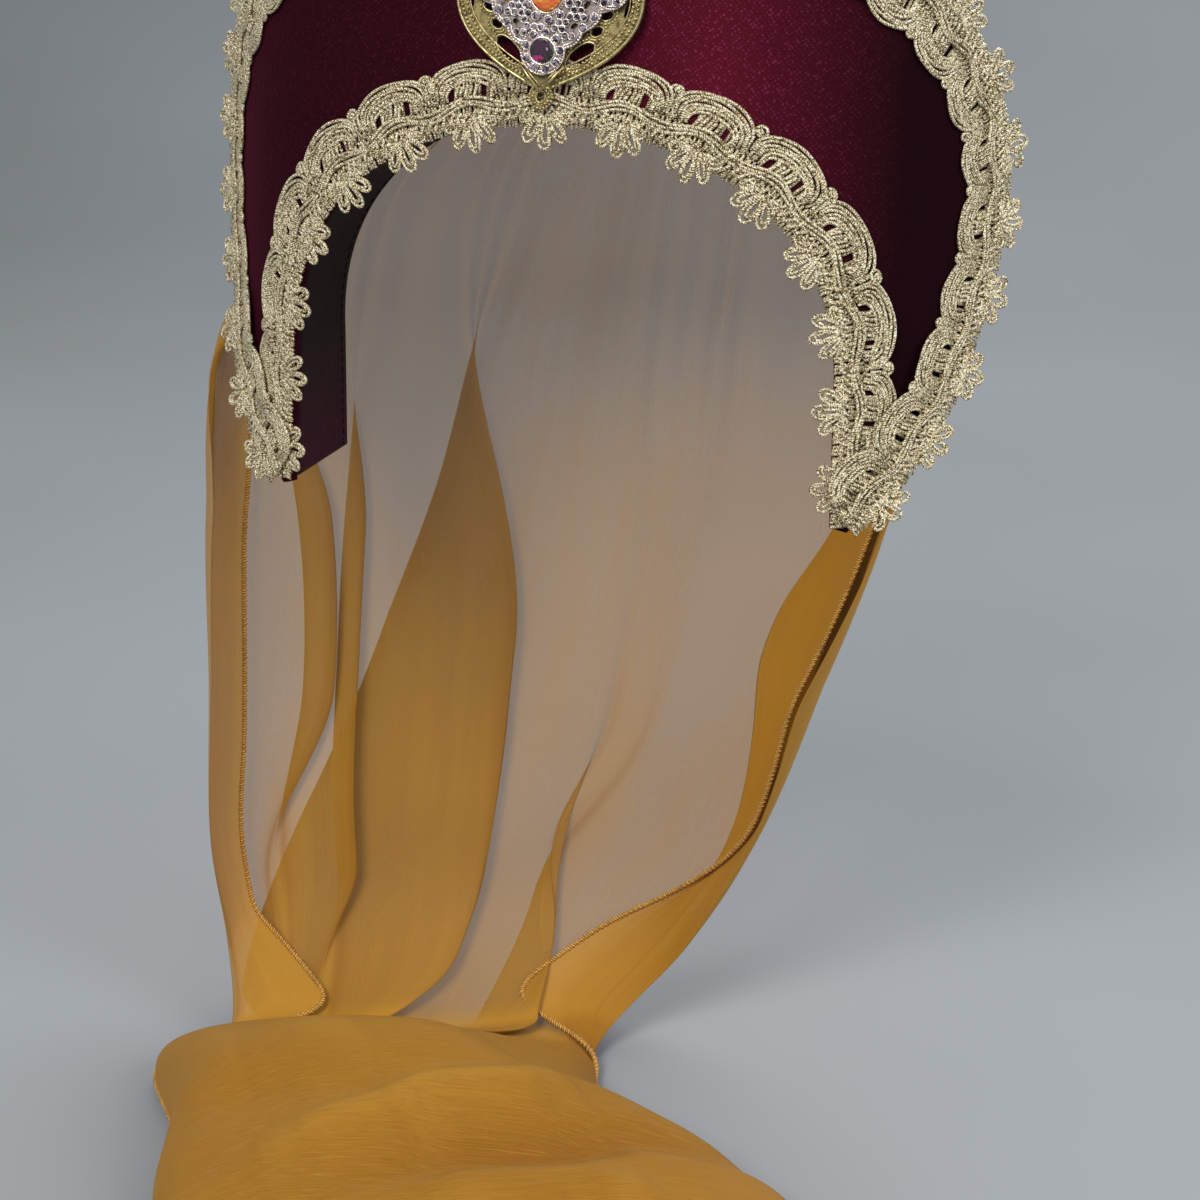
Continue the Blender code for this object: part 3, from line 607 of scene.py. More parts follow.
# A fan's loops: drops that leave one point, reach * (1 - cos t) / 2 outwards and
# half * sin t * (share of the reach) ** 0.7 to the sides, each leaning by its own angle.
def fanLoops():
    loops = []
    turn = np.linspace(0.0, 2 * math.pi, 18, endpoint=False)
    for lean, reach, half in ((-74, 0.0056, 0.0018), (-34, 0.0086, 0.0023), (0, 0.0094, 0.0024),
                              (34, 0.0086, 0.0023), (74, 0.0056, 0.0018)):
        angle = math.radians(lean)
        for inset in (0.0, 0.00112):
            far = (reach - 1.9 * inset) * (1 - np.cos(turn)) / 2 + 0.6 * inset
            wide = (half - inset) * np.sin(turn) * ((1 - np.cos(turn)) / 2 + 0.02) ** 0.55
            away = far * math.cos(angle) - wide * math.sin(angle)
            aside = (far + lace["fanSpread"]) * math.sin(angle) + wide * math.cos(angle)
            high = 0.0006 + 0.0004 * np.cos(turn) + 0.00012 * abs(lean) / 34
            loops.append((True, lace["fanMiddle"] + aside / lace["repeat"], lace["fanRoot"] - away, high))
    return loops


def makeLace(name, line, repeats, normalSide, climbs):
    bundle = newBundle()
    starts = np.arange(repeats)[:, None]
    for number, (closed, along, across, above) in enumerate(laceCords()):
        reach = starts + along[None]
        sway = lace["wobble"] * np.sin(2 * math.pi * 1.37 * reach + 1.9 * number)
        reach = np.clip(reach + sway / lace["repeat"], 0.02, repeats - 0.02)
        paths, ups = layLace(line, repeats, normalSide, climbs, reach, across[None] + sway,
                             np.broadcast_to(above, reach.shape))
        sides = lace["groundSides"] if len(along) == 3 else lace["sides"]
        addCords(bundle, paths, ups, lace["cord"], sides, closed)
    return makePiece(name, bundle, gimp)


gimp = gimpMaterial()
innerGimp = makeLace("inner_gimp", innerEdge(), lace["innerRepeats"], 1.0, False)
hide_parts("inner_lace")
outerGimp = makeLace("outer_gimp", outerEdge(), lace["outerRepeats"], -1.0, True)
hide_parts("outer_lace")
print("laces made", len(innerGimp.data.polygons), len(outerGimp.data.polygons))


# Brooch: drawn in its own plane, x across, y up and z out from the back of the gold plate.

brooch = {
    "height": 0.0350, "half": 0.0278, "drop": 0.0262, "rise": 0.0208, "turn": 3.0,
    "laceTop": 0.0196, "laceThick": 0.0014,
    "goldFace": 0.0012, "silverFace": 0.00305, "stoneSeat": 0.0034,
    "gilt": (0.66, 0.55, 0.28), "tarnish": (0.26, 0.20, 0.085), "plate": (0.30, 0.245, 0.105),
    "plateTarnish": (0.10, 0.078, 0.030),
    "bright": (1.0, 0.87, 0.78), "dull": (0.36, 0.29, 0.26),
    # the plate under the stones: a darker copy of the silver, painted shade in the gaps between them
    "shadedBed": (0.32, 0.27, 0.25), "shadedBedDull": (0.09, 0.07, 0.08),
}
silverFields = (             # x, y and radius of the round fields of the silver front
    (0.0, 0.0017, 0.0100), (0.0, -0.0153, 0.0067), (0.0100, -0.0030, 0.0064), (-0.0100, -0.0030, 0.0064),
    (0.0060, -0.0090, 0.0052), (-0.0060, -0.0090, 0.0052),
    (0.0182, 0.0022, 0.0052), (-0.0182, 0.0022, 0.0052),
    (0.0102, 0.0095, 0.0052), (-0.0102, 0.0095, 0.0052), (0.0, 0.0140, 0.0046),
)
paveRings = (                # x, y, half width, half height and stones in the ring
    (0.0, 0.0017, 0.0072, 0.0084, 12), (0.0, -0.0153, 0.0051, 0.0051, 9),
    (0.0182, 0.0022, 0.0034, 0.0034, 6), (-0.0182, 0.0022, 0.0034, 0.0034, 6),
    (0.0108, 0.0106, 0.0026, 0.0026, 5), (-0.0108, 0.0106, 0.0026, 0.0026, 5),
)
paveSpin = 0.1               # each ring starts a little round from level, in radians
beadRings = (                # x, y, half width and half height of the rows of beads round the fields
    (0.0, 0.0017, 0.0089, 0.0101), (0.0182, 0.0022, 0.0047, 0.0047),
    (-0.0182, 0.0022, 0.0047, 0.0047), (0.0, -0.0153, 0.0064, 0.0064),
)
paveSingles = ((0.0182, 0.0022), (0.0142, -0.0050), (0.0112, -0.0082), (0.0108, 0.0106))
silverGaps = ((0.0118, -0.0018), (0.0086, -0.0078), (0.0118, 0.0058))
goldOpenings = (             # x, y, half length, half breadth and turn, as cut in the gold plate
    (0.0105, -0.0156, 0.0050, 0.0022, 0.73), (0.0148, -0.0087, 0.0018, 0.0012, 0.5),
    (0.0174, -0.0042, 0.0018, 0.0011, 0.4), (0.0213, 0.0068, 0.0024, 0.0012, -1.2),
    (0.0160, 0.0135, 0.0028, 0.0014, -0.75),
)
amberStone = {"x": 0.0, "y": 0.0017, "halfX": 0.0049, "halfY": 0.0063, "height": 0.0034}
garnetStone = {"x": 0.0, "y": -0.0153, "halfX": 0.0034, "halfY": 0.0034, "height": 0.0026}


# The brooch leans from the top of the lace's scallops back to the velvet and is turned a little.
def broochPlace():
    rest = bend(np.array((0.0, brooch["laceTop"])), 2 * clearance + brooch["laceThick"])
    head = bend(np.array((0.0, brooch["height"] + brooch["rise"])), clearance)
    lean = math.atan2(head[1] - rest[1], head[2] - rest[2])
    share = (brooch["height"] - brooch["laceTop"]) / (brooch["height"] + brooch["rise"] - brooch["laceTop"])
    place = Matrix.Translation(rest + (head - rest) * share) @ Matrix.Rotation(math.pi / 2 - lean, 4, "X")
    return place @ Matrix.Rotation(-math.radians(brooch["turn"]), 4, "Z")


# Puts everything in a bundle from the brooch's plane on to its seat.
def seatBrooch(bundle):
    place = np.array(broochPlace())
    bundle["points"] = [points @ place[:3, :3].T + place[:3, 3] for points in bundle["points"]]


def evenly(line, spacing, closed=False):
    if closed:
        line = np.concatenate((line, line[:1]))
    length = lengthAlong(line)
    count = max(int(round(length[-1] / spacing)), 3)
    wanted = np.linspace(0.0, length[-1], count + 1)[:-1] if closed else np.linspace(0.0, length[-1], count)
    return readAt(wanted, length, line)


# The same line moved aside by inset, square to its own run.
def insetLine(line, inset, closed=False):
    run = unit(np.roll(line, -1, axis=0) - np.roll(line, 1, axis=0) if closed else np.gradient(line, axis=0))
    return line + inset * np.stack((-run[:, 1], run[:, 0]), axis=1)


# The gold heart's rim, from its low right over the top to its low left: half * cos(t) ** 0.9 and
# rise * sin(t) ** 0.9 above, half * (1 - depth ** 2.2) ** 0.9 below.
def heartLine():
    depth = np.linspace(0.93, 0.0, 60)
    low = np.stack((brooch["half"] * (1 - depth ** 2.2) ** 0.9, -brooch["drop"] * depth), axis=1)
    turn = np.linspace(0.0, math.pi / 2, 60)[1:]
    aside = brooch["half"] * np.cos(turn).clip(0) ** 0.9
    top = np.stack((aside, brooch["rise"] * np.sin(turn) ** 0.9), axis=1)
    right = np.concatenate((low, top))
    return np.concatenate((right, (right[:-1] * (-1, 1))[::-1]))


# A ring of points: halfX * cos(angle) across and halfY * sin(angle) up from its middle.
def ringLine(x, y, halfX, halfY, count=64):
    angle = np.linspace(0.0, 2 * math.pi, count, endpoint=False)
    return np.stack((x + halfX * np.cos(angle), y + halfY * np.sin(angle)), axis=1)


# The farthest reach of the round fields in every direction from the middle.
def silverOutline(count=480):
    angle = np.linspace(0.0, 2 * math.pi, count, endpoint=False) + math.pi / 2
    reach = np.full(count, 0.003)
    for x, y, radius in silverFields:
        along = x * np.cos(angle) + y * np.sin(angle)
        inside = radius ** 2 - (x * np.sin(angle) - y * np.cos(angle)) ** 2
        reach = np.where(inside > 0, np.maximum(reach, along + np.sqrt(np.maximum(inside, 0))), reach)
    return np.stack((reach * np.cos(angle), reach * np.sin(angle)), axis=1)


def addWire(bundle, line, height, radius, closed=False, sides=6):
    path = np.column_stack((line, np.full(len(line), height)))[None]
    addCords(bundle, path, np.array((0.0, 0.0, 1.0)), radius, sides, closed)


def addGrains(bundle, line, height, radius, spacing, closed=False):
    dots = evenly(line, spacing, closed)
    addBeads(bundle, np.column_stack((dots, np.full(len(dots), height))), radius)


# A raised edge round an opening of the gold plate: an ellipse turned by its own angle, a little larger
# than the hole, with a row of grains outside it.
def addEdge(bundle, x, y, halfX, halfY, lean, side):
    height = brooch["goldFace"]
    turn = np.array(((math.cos(lean), -math.sin(lean)), (math.sin(lean), math.cos(lean))))
    for wider, grains in ((0.00022, False), (0.00105, True)):
        line = ringLine(0.0, 0.0, halfX + wider, halfY + wider, 40) @ turn.T + (x, y)
        line = line * (side, 1)
        if grains:
            addGrains(bundle, line, height + 0.0001, 0.00042, 0.00105, True)
        else:
            addWire(bundle, line[::side], height + 0.0001, 0.00026, True)


def metalMaterial(name, clean, dirty, rough):
    material, tree, shader = newMaterial(name)
    place = objectPlace(tree)
    worn = noise(tree, place, 620.0, 4.0, 0.65)
    fine = noise(tree, place, 2600.0, 2.0, 0.6)
    colour = ramp(tree, worn, [(0.34, dirty), (0.56, clean)])
    tree.links.new(colour, shader.inputs["Base Color"])
    tree.links.new(spread(tree, worn, 0.3, 0.7, rough + 0.22, rough), shader.inputs["Roughness"])
    tree.links.new(bump(tree, fine, 0.25, 0.0002), shader.inputs["Normal"])
    setShader(shader, {"Metallic": 1.0})
    return material


# Cut stones take a tone for each small cell, a painted reflection light or dark as the facets under their
# faces are; a painted glint colours some cells of the drop stone's lower half.
def stoneMaterial(name, dark, light, cell, metallic=0.0, glow=None):
    material, tree, shader = newMaterial(name)
    cells = addNode(tree, "TexVoronoi", None, {"Vector": objectPlace(tree), "Scale": cell})
    tone = addNode(tree, "SeparateColor", None, {"Color": cells.outputs["Color"]}).outputs[0]
    colour = ramp(tree, tone, [(0.25, dark), (0.85, light)])
    # the painted glint, on the lighter cells below the stone's middle
    if glow:
        middle = (broochPlace() @ Vector((garnetStone["x"], garnetStone["y"], brooch["stoneSeat"])))[2]
        low = spread(tree, placeAxis(tree, "Z"), middle - 0.0004, middle - 0.0018)
        some = maths(tree, "GREATER_THAN", tone, 0.52)
        colour = mixColour(tree, maths(tree, "MULTIPLY", low, some), colour, glow)
    tree.links.new(colour, shader.inputs["Base Color"])
    setShader(shader, {"Roughness": 0.06, "Metallic": metallic, "IOR": 1.65, "Specular IOR Level": 0.8})
    return material


goldWork = {                 # wires and grains on the gold plate
    "wires": ((0.0005, 0.00015, 0.00046), (0.0042, 0.00010, 0.00028)),       # in from the rim, up, radius
    "grains": ((0.0017, 0.00050), (0.0032, 0.00046)), "grainStep": 0.00125,  # in from the rim, radius
    "bars": ((((0.0066, -0.0190), (0.0033, -0.0228), (0.0, -0.0265)), 0.00040),
             (((0.0046, -0.0204), (0.0023, -0.0226), (0.0, -0.0248)), 0.00026)),
    "pointGrains": ((0.0050, -0.0241), (0.0016, -0.0252)), "eyelet": -0.0278,
}


def makeGoldWork(material):
    bundle = newBundle()
    face = brooch["goldFace"]
    heart = evenly(heartLine(), 0.0006)
    for inset, up, radius in goldWork["wires"]:
        addWire(bundle, insetLine(heart, inset), face + up, radius)
    for inset, radius in goldWork["grains"]:
        addGrains(bundle, insetLine(heart, inset), face + 0.0002, radius, goldWork["grainStep"])
    for side in (-1, 1):
        for opening in goldOpenings:
            addEdge(bundle, *opening, side)
        for bar, radius in goldWork["bars"]:
            addWire(bundle, np.array(bar) * (side, 1), brooch["silverFace"], radius)
        addGrains(bundle, np.array(goldWork["pointGrains"]) * (side, 1), face, 0.0006, 0.0013)
    addWire(bundle, ringLine(0.0, goldWork["eyelet"], 0.0014, 0.0016, 20), face + 0.0001, 0.00026, True)
    for wider in (0.0024, 0.0034):
        ring = ringLine(0.0, goldWork["eyelet"], wider, wider - 0.0002, 24)
        addGrains(bundle, ring, face, 0.00042, 0.0010, True)
    seatBrooch(bundle)
    return makePiece("gold_rim_work", bundle, material)


# The middles of the larger clear stones: the rings, each turned by the spin, and the single stones.
def paveMiddles():
    cosine, sine = math.cos(paveSpin), math.sin(paveSpin)
    spun = np.array(((cosine, sine), (-sine, cosine)))
    dots = [ringLine(0.0, 0.0, halfX, halfY, count) @ spun + (x, y)
            for x, y, halfX, halfY, count in paveRings]
    dots += [np.array(((x, y), (-x, y))) for x, y in paveSingles]
    return np.concatenate(dots + [np.array(((0.0, 0.0150),))])


# Small stones between the large ones: the dots of a staggered grid that lie inside the silver
# outline and clear of the large stones, the gaps and the two bezels.
def fillMiddles(taken):
    row, column = np.meshgrid(np.arange(-18, 18), np.arange(-18, 18), indexing="ij")
    dots = np.stack(((column + 0.5 * (row % 2)) * 0.00205, row * 0.00178), axis=-1).reshape(-1, 2)
    angle = np.arctan2(dots[:, 1], dots[:, 0])
    outline = silverOutline()
    edge = np.arctan2(outline[:, 1], outline[:, 0])
    order = np.argsort(edge)
    reach = np.interp(angle, edge[order], np.hypot(*outline.T)[order], period=2 * math.pi)
    keep = np.hypot(*dots.T) < reach - 0.0020
    keep &= np.hypot(dots[:, 0] / (amberStone["halfX"] + 0.0018),
                     (dots[:, 1] - amberStone["y"]) / (amberStone["halfY"] + 0.0018)) > 1
    keep &= np.hypot(dots[:, 0], dots[:, 1] - garnetStone["y"]) > garnetStone["halfX"] + 0.0014
    gaps = np.array([(side * x, y) for x, y in silverGaps for side in (-1, 1)])
    for others, room in ((taken, 0.00185), (gaps, 0.0019)):
        aside = dots[:, None] - others[None]
        keep &= np.hypot(aside[..., 0], aside[..., 1]).min(axis=1) > room
    return dots[keep]


def makeSilverWork(material, clear):
    face = brooch["silverFace"]
    metal, stones = newBundle(), newBundle()
    outline = silverOutline()
    addGrains(metal, insetLine(outline, 0.0004, True), face, 0.00044, 0.00088, True)
    addWire(metal, evenly(insetLine(outline, 0.0012, True), 0.0005, True), face, 0.00030, True)
    for stone in (amberStone, garnetStone):                 # a bezel round each large stone, beaded outside
        x, y, halfX, halfY = (stone[key] for key in ("x", "y", "halfX", "halfY"))
        addWire(metal, ringLine(x, y, halfX + 0.0003, halfY + 0.0003), face + 0.0006, 0.00042, True)
        addGrains(metal, ringLine(x, y, halfX + 0.0009, halfY + 0.0009), face + 0.0002,
                  0.00036, 0.00074, True)
    for ring in beadRings:
        addGrains(metal, ringLine(*ring), face + 0.0001, 0.00032, 0.00068, True)
    large = paveMiddles()
    small = fillMiddles(large)
    angle = np.linspace(0.0, 2 * math.pi, 12, endpoint=False)
    facets = ((0.0, 0.80), (0.30, 1.0), (0.45, 1.0), (1.0, 0.58))
    for dots, radius, height in ((large, 0.00108, 0.00100), (small, 0.00084, 0.00085)):
        seats = np.column_stack((dots, np.full(len(dots), face - 0.0001)))
        addStones(stones, seats, radius, radius, height, 8, facets)
        wide = radius + 0.00014
        rings = np.stack((dots[:, None, 0] + wide * np.cos(angle), dots[:, None, 1] + wide * np.sin(angle),
                          np.full((len(dots), 12), face + 0.00042)), axis=-1)
        addCords(metal, rings, np.array((0.0, 0.0, 1.0)), 0.00020, 4, True)
    seatBrooch(metal)
    seatBrooch(stones)
    makePiece("silver_grain_work", metal, material)
    return makePiece("clear_stones", stones, clear, False)


def makeCutStone(name, stone, sides, material, node):
    rings = ((0.0, 0.80), (0.22, 1.0), (0.34, 1.0), (0.66, 0.88), (0.88, 0.70), (1.0, 0.56))
    bundle = newBundle()
    middle = np.array(((stone["x"], stone["y"], brooch["stoneSeat"]),))
    addStones(bundle, middle, stone["halfX"], stone["halfY"], stone["height"], sides, rings, True)
    seatBrooch(bundle)
    piece = makePiece(name, bundle, material, False)
    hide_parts(node)
    return piece


gilt = metalMaterial("bright_gilt", brooch["gilt"], brooch["tarnish"], 0.24)
plate = metalMaterial("aged_gilt", brooch["plate"], brooch["plateTarnish"], 0.34)
silver = metalMaterial("bright_silver", brooch["bright"], brooch["dull"], 0.16)
# The plate under the stones is a darker copy of the silver: painted shade in the gaps between them.
shadedBed = metalMaterial("shaded_silver", brooch["shadedBed"], brooch["shadedBedDull"], 0.28)
clearStone = stoneMaterial("clear_rhinestone", (0.05, 0.045, 0.07), (0.66, 0.62, 0.70), 1300.0, 0.9)
for nodeName, finish in (("brooch_back", plate), ("brooch_front", shadedBed)):
    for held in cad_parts[nodeName].material_slots:
        held.material = finish
makeGoldWork(gilt)
makeSilverWork(silver, clearStone)
orangeGlass = stoneMaterial("orange_glass", (0.85, 0.13, 0.004), (1.0, 0.40, 0.05), 520.0)
purpleGlass = stoneMaterial("purple_glass", (0.004, 0.001, 0.006), (0.045, 0.001, 0.026), 700.0, 0.0,
                            (0.62, 0.01, 0.22))
makeCutStone("orange_stone", amberStone, 16, orangeGlass, "centre_stone")
makeCutStone("purple_stone", garnetStone, 12, purpleGlass, "drop_stone")
print("brooch made")


# Veil: a sheer cloth gathered on the band, hanging in pleats and brought forward over the ground.

veil = {
    "flatWidth": 0.34, "flatLength": 0.80, "along": 400, "perKnot": 12, "edge": 0.00085,
    "sheer": (0.47, 0.235, 0.024), "middle": (0.60, 0.300, 0.032), "full": (0.365, 0.158, 0.0105),
    # the darkest tone is painted shade at the pleats' turns and in the heap's hollows; the light tone is a
    # painted highlight on the heap's crests
    "paintedShade": (0.235, 0.080, 0.0045), "light": (0.56, 0.30, 0.045), "grain": (0.30, 0.13, 0.010),
    "hemDark": (0.26, 0.105, 0.008), "hemLight": (0.80, 0.42, 0.055),
    "streaks": 0.35, "clouds": 0.55, "clearest": 0.56,     # how uneven, and how opaque at its sheerest
    "smooth": 17,                                          # rows over which a border's levels are rounded
    "hemTwist": 0.0021, "hemStep": 0.00045, "hemSwell": 0.28,
}
sectionColumns = ("midX", "midY", "midZ", "half", "back", "up", "hookLeft", "hookRight", "turn",
                  "leftRound", "rightRound")
veilSections = {             # centimetres, degrees, and how round each side is: 1 as the arch, less is fuller
    "seam":       (0.0, 1.5, -7.34, 8.83, 0.0, 7.62, 0, 0, 0, 1, 1),
    "bandRear":   (0.0, 2.4, -7.34, 8.86, 0.1, 7.65, 0, 0, 0, 1, 1),
    "crown":      (-0.6, 3.9, -7.20, 10.0, 2.4, 6.5, 10, 2, 1, 1, 1),
    "headBack":   (-1.7, 4.7, -7.80, 11.6, 5.0, 4.2, 20, 8, 3, 1, 1),
    "nape":       (-2.3, 4.9, -10.8, 11.7, 5.8, 1.6, 26, 12, 6, 1, 1),
    "belowEars":  (-3.0, 5.0, -14.8, 11.4, 5.2, 0.2, 28, 18, 8, 1, 1),
    "shoulder":   (-4.0, 5.3, -20.2, 10.7, 4.4, 0.0, 30, 24, 11, 1, 1),
    "waist":      (-5.1, 4.9, -26.0, 9.8, 3.6, 0.0, 28, 26, 13, 1, 1),
    "low":        (-6.0, 4.3, -30.4, 8.4, 2.6, 0.1, 20, 20, 14, 1, 1),
    "onGround":   (-6.8, 2.1, -33.3, 6.9, 0.9, 0.3, 4, 4, 16, 1, 1),
    "rise":       (-7.2, -0.4, -33.5, 7.8, 0.2, 2.4, 0, 0, 12, 0.8, 1),
    "crest":      (-5.0, -3.3, -33.6, 7.7, 0.0, 4.5, 0, 0, 17, 0.6, 1.1),
    "forward":    (-1.8, -6.4, -33.6, 9.8, 0.0, 4.1, 0, 0, 17, 0.7, 1.1),
    "front":      (0.9, -10.2, -33.6, 10.5, 0.0, 3.3, 0, 0, 17, 0.9, 1),
    "hem":        (3.2, -15.2, -33.6, 10.9, 0.0, 1.0, 0, 0, 17, 1, 1),
}
# Pleats that turn back on themselves: opens, full, closes and gone are shares along; the right and
# left turns stand at shares across at pleatTop and pleatFoot, with a bow between; depth in metres.
pleatTop, pleatFoot = 0.36, 0.60
pleatColumns = ("opens", "full", "closes", "gone", "right", "rightFoot", "rightBow",
                "left", "leftFoot", "leftBow", "depth")
veilPleats = {
    "goldStrip":  (0.25, 0.37, 0.45, 0.55, 0.322, 0.290, 0.035, 0.290, 0.255, 0.040, 0.0030),
    "darkFold":   (0.26, 0.38, 0.54, 0.62, 0.363, 0.383, 0.000, 0.349, 0.366, 0.000, 0.0028),
    "greatFold":  (0.22, 0.43, 0.60, 0.68, 0.498, 0.517, 0.000, 0.412, 0.185, 0.058, 0.0065),
    "smallFold":  (0.46, 0.56, 0.64, 0.70, 0.500, 0.645, -0.045, 0.545, 0.575, 0.000, 0.0045),
}
wallKnots = (0.12, 0.20, 0.56, 0.66, 0.75, 0.84)
# The two side borders turn inwards: their hem and their turns are read at levels along.
leftLevels = (0.00, 0.18, 0.25, 0.30, 0.37, 0.42, 0.47, 0.51, 0.56, 0.60, 0.63, 0.68, 1.00)
leftHem = (0.00, 0.00, 0.150, 0.205, 0.190, 0.198, 0.212, 0.203, 0.205, 0.30, 0.370, 0.00, 0.00)
leftTurn = (0.05, 0.05, 0.075, 0.075, 0.070, 0.070, 0.070, 0.070, 0.080, 0.12, 0.130, 0.05, 0.05)
borderLevels = (0.00, 0.20, 0.30, 0.36, 0.40, 0.43, 0.47, 0.50, 0.53, 0.57, 0.62, 0.68, 1.00)
borderTurn = (0.94, 0.94, 0.950, 0.965, 0.983, 0.995, 0.955, 0.925, 0.935, 0.925, 0.90, 0.94, 0.94)
borderEdge = (0.97, 0.95, 0.840, 0.790, 0.743, 0.735, 0.772, 0.800, 0.815, 0.800, 0.80, 0.97, 0.97)
borderHem = (1.00, 0.99, 0.945, 0.930, 0.958, 0.985, 0.943, 0.890, 0.800, 0.690, 0.61, 1.00, 1.00)
borderDepth = 0.0050


# A Catmull-Rom curve through evenly numbered rows, read at shares from 0 to 1.
def smoothThrough(rows, share):
    rows = np.asarray(rows, dtype=float)
    place = np.clip(share, 0.0, 1.0) * (len(rows) - 1)
    start = np.minimum(place.astype(int), len(rows) - 2)
    part = (place - start)[:, None]
    before, first = rows[np.maximum(start - 1, 0)], rows[start]
    second, after = rows[start + 1], rows[np.minimum(start + 2, len(rows) - 1)]
    return 0.5 * (2 * first + (second - before) * part
                  + (2 * before - 5 * first + 4 * second - after) * part ** 2
                  + (3 * first - before - 3 * second + after) * part ** 3)


# The wall the veil hangs in. At each share along it is part of a superellipse from the left hook to
# the right hook: half * cos(angle) sideways, back * sin(angle) behind and up * sin(angle) above,
# the powers rounded to the arch's, then turned about the upright.
def veilWall(across, along):
    table = smoothThrough(list(veilSections.values()), along)
    row = {name: table[:, place][:, None] for place, name in enumerate(sectionColumns)}
    turn = np.radians(row["turn"])
    start = math.pi + np.radians(row["hookLeft"])
    angle = start + (-np.radians(row["hookRight"]) - start) * across
    power = 2 / board["archPower"]
    side = np.sign(np.cos(angle)) * np.abs(np.cos(angle)) ** power
    rounding = np.where(np.cos(angle) < 0, row["leftRound"], row["rightRound"])
    bow = np.sign(np.sin(angle)) * np.abs(np.sin(angle)) ** (rounding * power)
    sideways, back = row["half"] * side, row["back"] * bow
    return 0.01 * np.stack((row["midX"] + sideways * np.cos(turn) - back * np.sin(turn),
                            row["midY"] + sideways * np.sin(turn) + back * np.cos(turn),
                            row["midZ"] + row["up"] * bow), axis=-1)


# Values at uneven levels, joined by straight runs and then rounded by a running mean.
def readLevels(along, levels, values):
    straight = np.interp(along, levels, values)
    window = np.hanning(veil["smooth"] + 2)[1:-1]
    padded = np.pad(straight, veil["smooth"] // 2, mode="edge")
    return np.convolve(padded, window / window.sum(), mode="valid")


# Where the cloth's own columns lie in the wall: (share across, depth towards the inside) for each
# knot, blended from rest to folded by how far its pleat has opened.
def veilKnots(along):
    t = np.clip((along - pleatTop) / (pleatFoot - pleatTop), -0.6, 1.4)
    folded = []
    for values in veilPleats.values():
        pleat = dict(zip(pleatColumns, values))
        levels = [pleat[name] for name in ("opens", "full", "closes", "gone")]
        opened = eased(np.interp(along, levels, (0, 1, 1, 0)))
        for turn, sign in (("right", 1.0), ("left", -1.0)):
            shift = (pleat[turn + "Foot"] - pleat[turn]) * t
            place = pleat[turn] + shift + 4 * pleat[turn + "Bow"] * t * (1 - t)
            folded.append((place, sign * pleat["depth"] * opened, opened))
        if pleat["depth"] > 0.006:                          # the return of a deep fold sinks behind it
            right, left = folded[-2:]
            folded.insert(-1, (0.5 * (right[0] + left[0]), -1.1 * pleat["depth"] * opened, opened))
    rest = (0.255, 0.285, 0.325, 0.36, 0.42, 0.45, 0.48, 0.595, 0.63)
    folded = [((1 - opened) * still + opened * place, depth)
              for still, (place, depth, opened) in zip(rest, folded)]
    still = [(np.full(len(along), place), np.zeros(len(along))) for place in wallKnots]
    hanging = np.interp(along, (0.20, 0.34, 0.58, 0.70), (0, 1, 1, 0))
    flatter = np.interp(along, (0.46, 0.56), (0.45, 1.0))
    border = [(readLevels(along, borderLevels, borderTurn), 0.0 * along),
              (readLevels(along, borderLevels, borderEdge), borderDepth * 0.5 * hanging * flatter),
              (readLevels(along, borderLevels, borderHem), borderDepth * hanging * flatter)]
    left = [(readLevels(along, leftLevels, leftHem), borderDepth * hanging),
            (readLevels(along, leftLevels, leftTurn), borderDepth * 0.4 * hanging)]
    knots = left + still[:2] + folded[:7] + still[2:3] + folded[7:9] + still[3:] + border
    return np.array([place for place, _ in knots]), np.array([depth for _, depth in knots])


# Soft ripples, each depth * (sin(waves across + slant along + phase) - lift), rising and fading along.
ripples = {                  # waves across, slant, phase, depth in metres, lift off the band, from, to
    "gathers":  (26, 3.0, 0.0, 0.0013, 1.0, 0.00, 0.34),
    "drifts":   (5, 9.0, 1.0, 0.0012, 0.0, 0.25, 0.66),
    "flutter":  (9, -7.0, 2.1, 0.0007, 0.0, 0.25, 0.68),
}
swells = {                   # middle across and along, breadths, height in metres, lean of the long axis
    "leftHollow":  (0.24, 0.835, 0.14, 0.024, -0.0040, 0.00),
    "midRidge":    (0.50, 0.857, 0.20, 0.013, 0.0070, -0.13),
    "valley":      (0.58, 0.888, 0.22, 0.014, -0.0105, -0.10),
    "lowRidge":    (0.64, 0.920, 0.10, 0.012, 0.0050, 0.05),
    "lowHollow":   (0.40, 0.935, 0.20, 0.018, -0.0040, -0.08),
    "rightFall":   (0.74, 0.790, 0.14, 0.050, -0.0060, 0.00),
}


def veilSurface():
    along = np.linspace(0.0, 1.0, veil["along"])
    places, depths = veilKnots(along)
    columns = np.linspace(0.0, 1.0, (len(places) - 1) * veil["perKnot"] + 1)
    across = smoothThrough(places, columns).T
    depth = smoothThrough(depths, columns).T
    across = np.clip(across, 0.0, 1.0)
    share, cloth = along[:, None], columns[None]
    for waves, slant, phase, deep, lift, first, last in ripples.values():
        grown = np.clip(np.minimum((share - first) / 0.06, (last - share) / 0.06), 0.0, 1.0)
        wave = np.sin(2 * math.pi * waves * cloth + slant * 2 * share + phase)
        depth = depth + deep * grown * (wave - lift)
    for middle, place, wide, long, high, lean in swells.values():
        down = (share - place - lean * (cloth - middle)) / long
        depth = depth + high * np.exp(-((cloth - middle) / wide) ** 2 - down ** 2)
    step = 0.002
    wall = veilWall(across, along)
    beside = veilWall(across + step, along) - veilWall(across - step, along)
    below = veilWall(across, np.clip(along + step, 0, 1)) - veilWall(across, np.clip(along - step, 0, 1))
    inside = unit(np.cross(below, beside))
    return wall + inside * depth[..., None], inside, columns, along


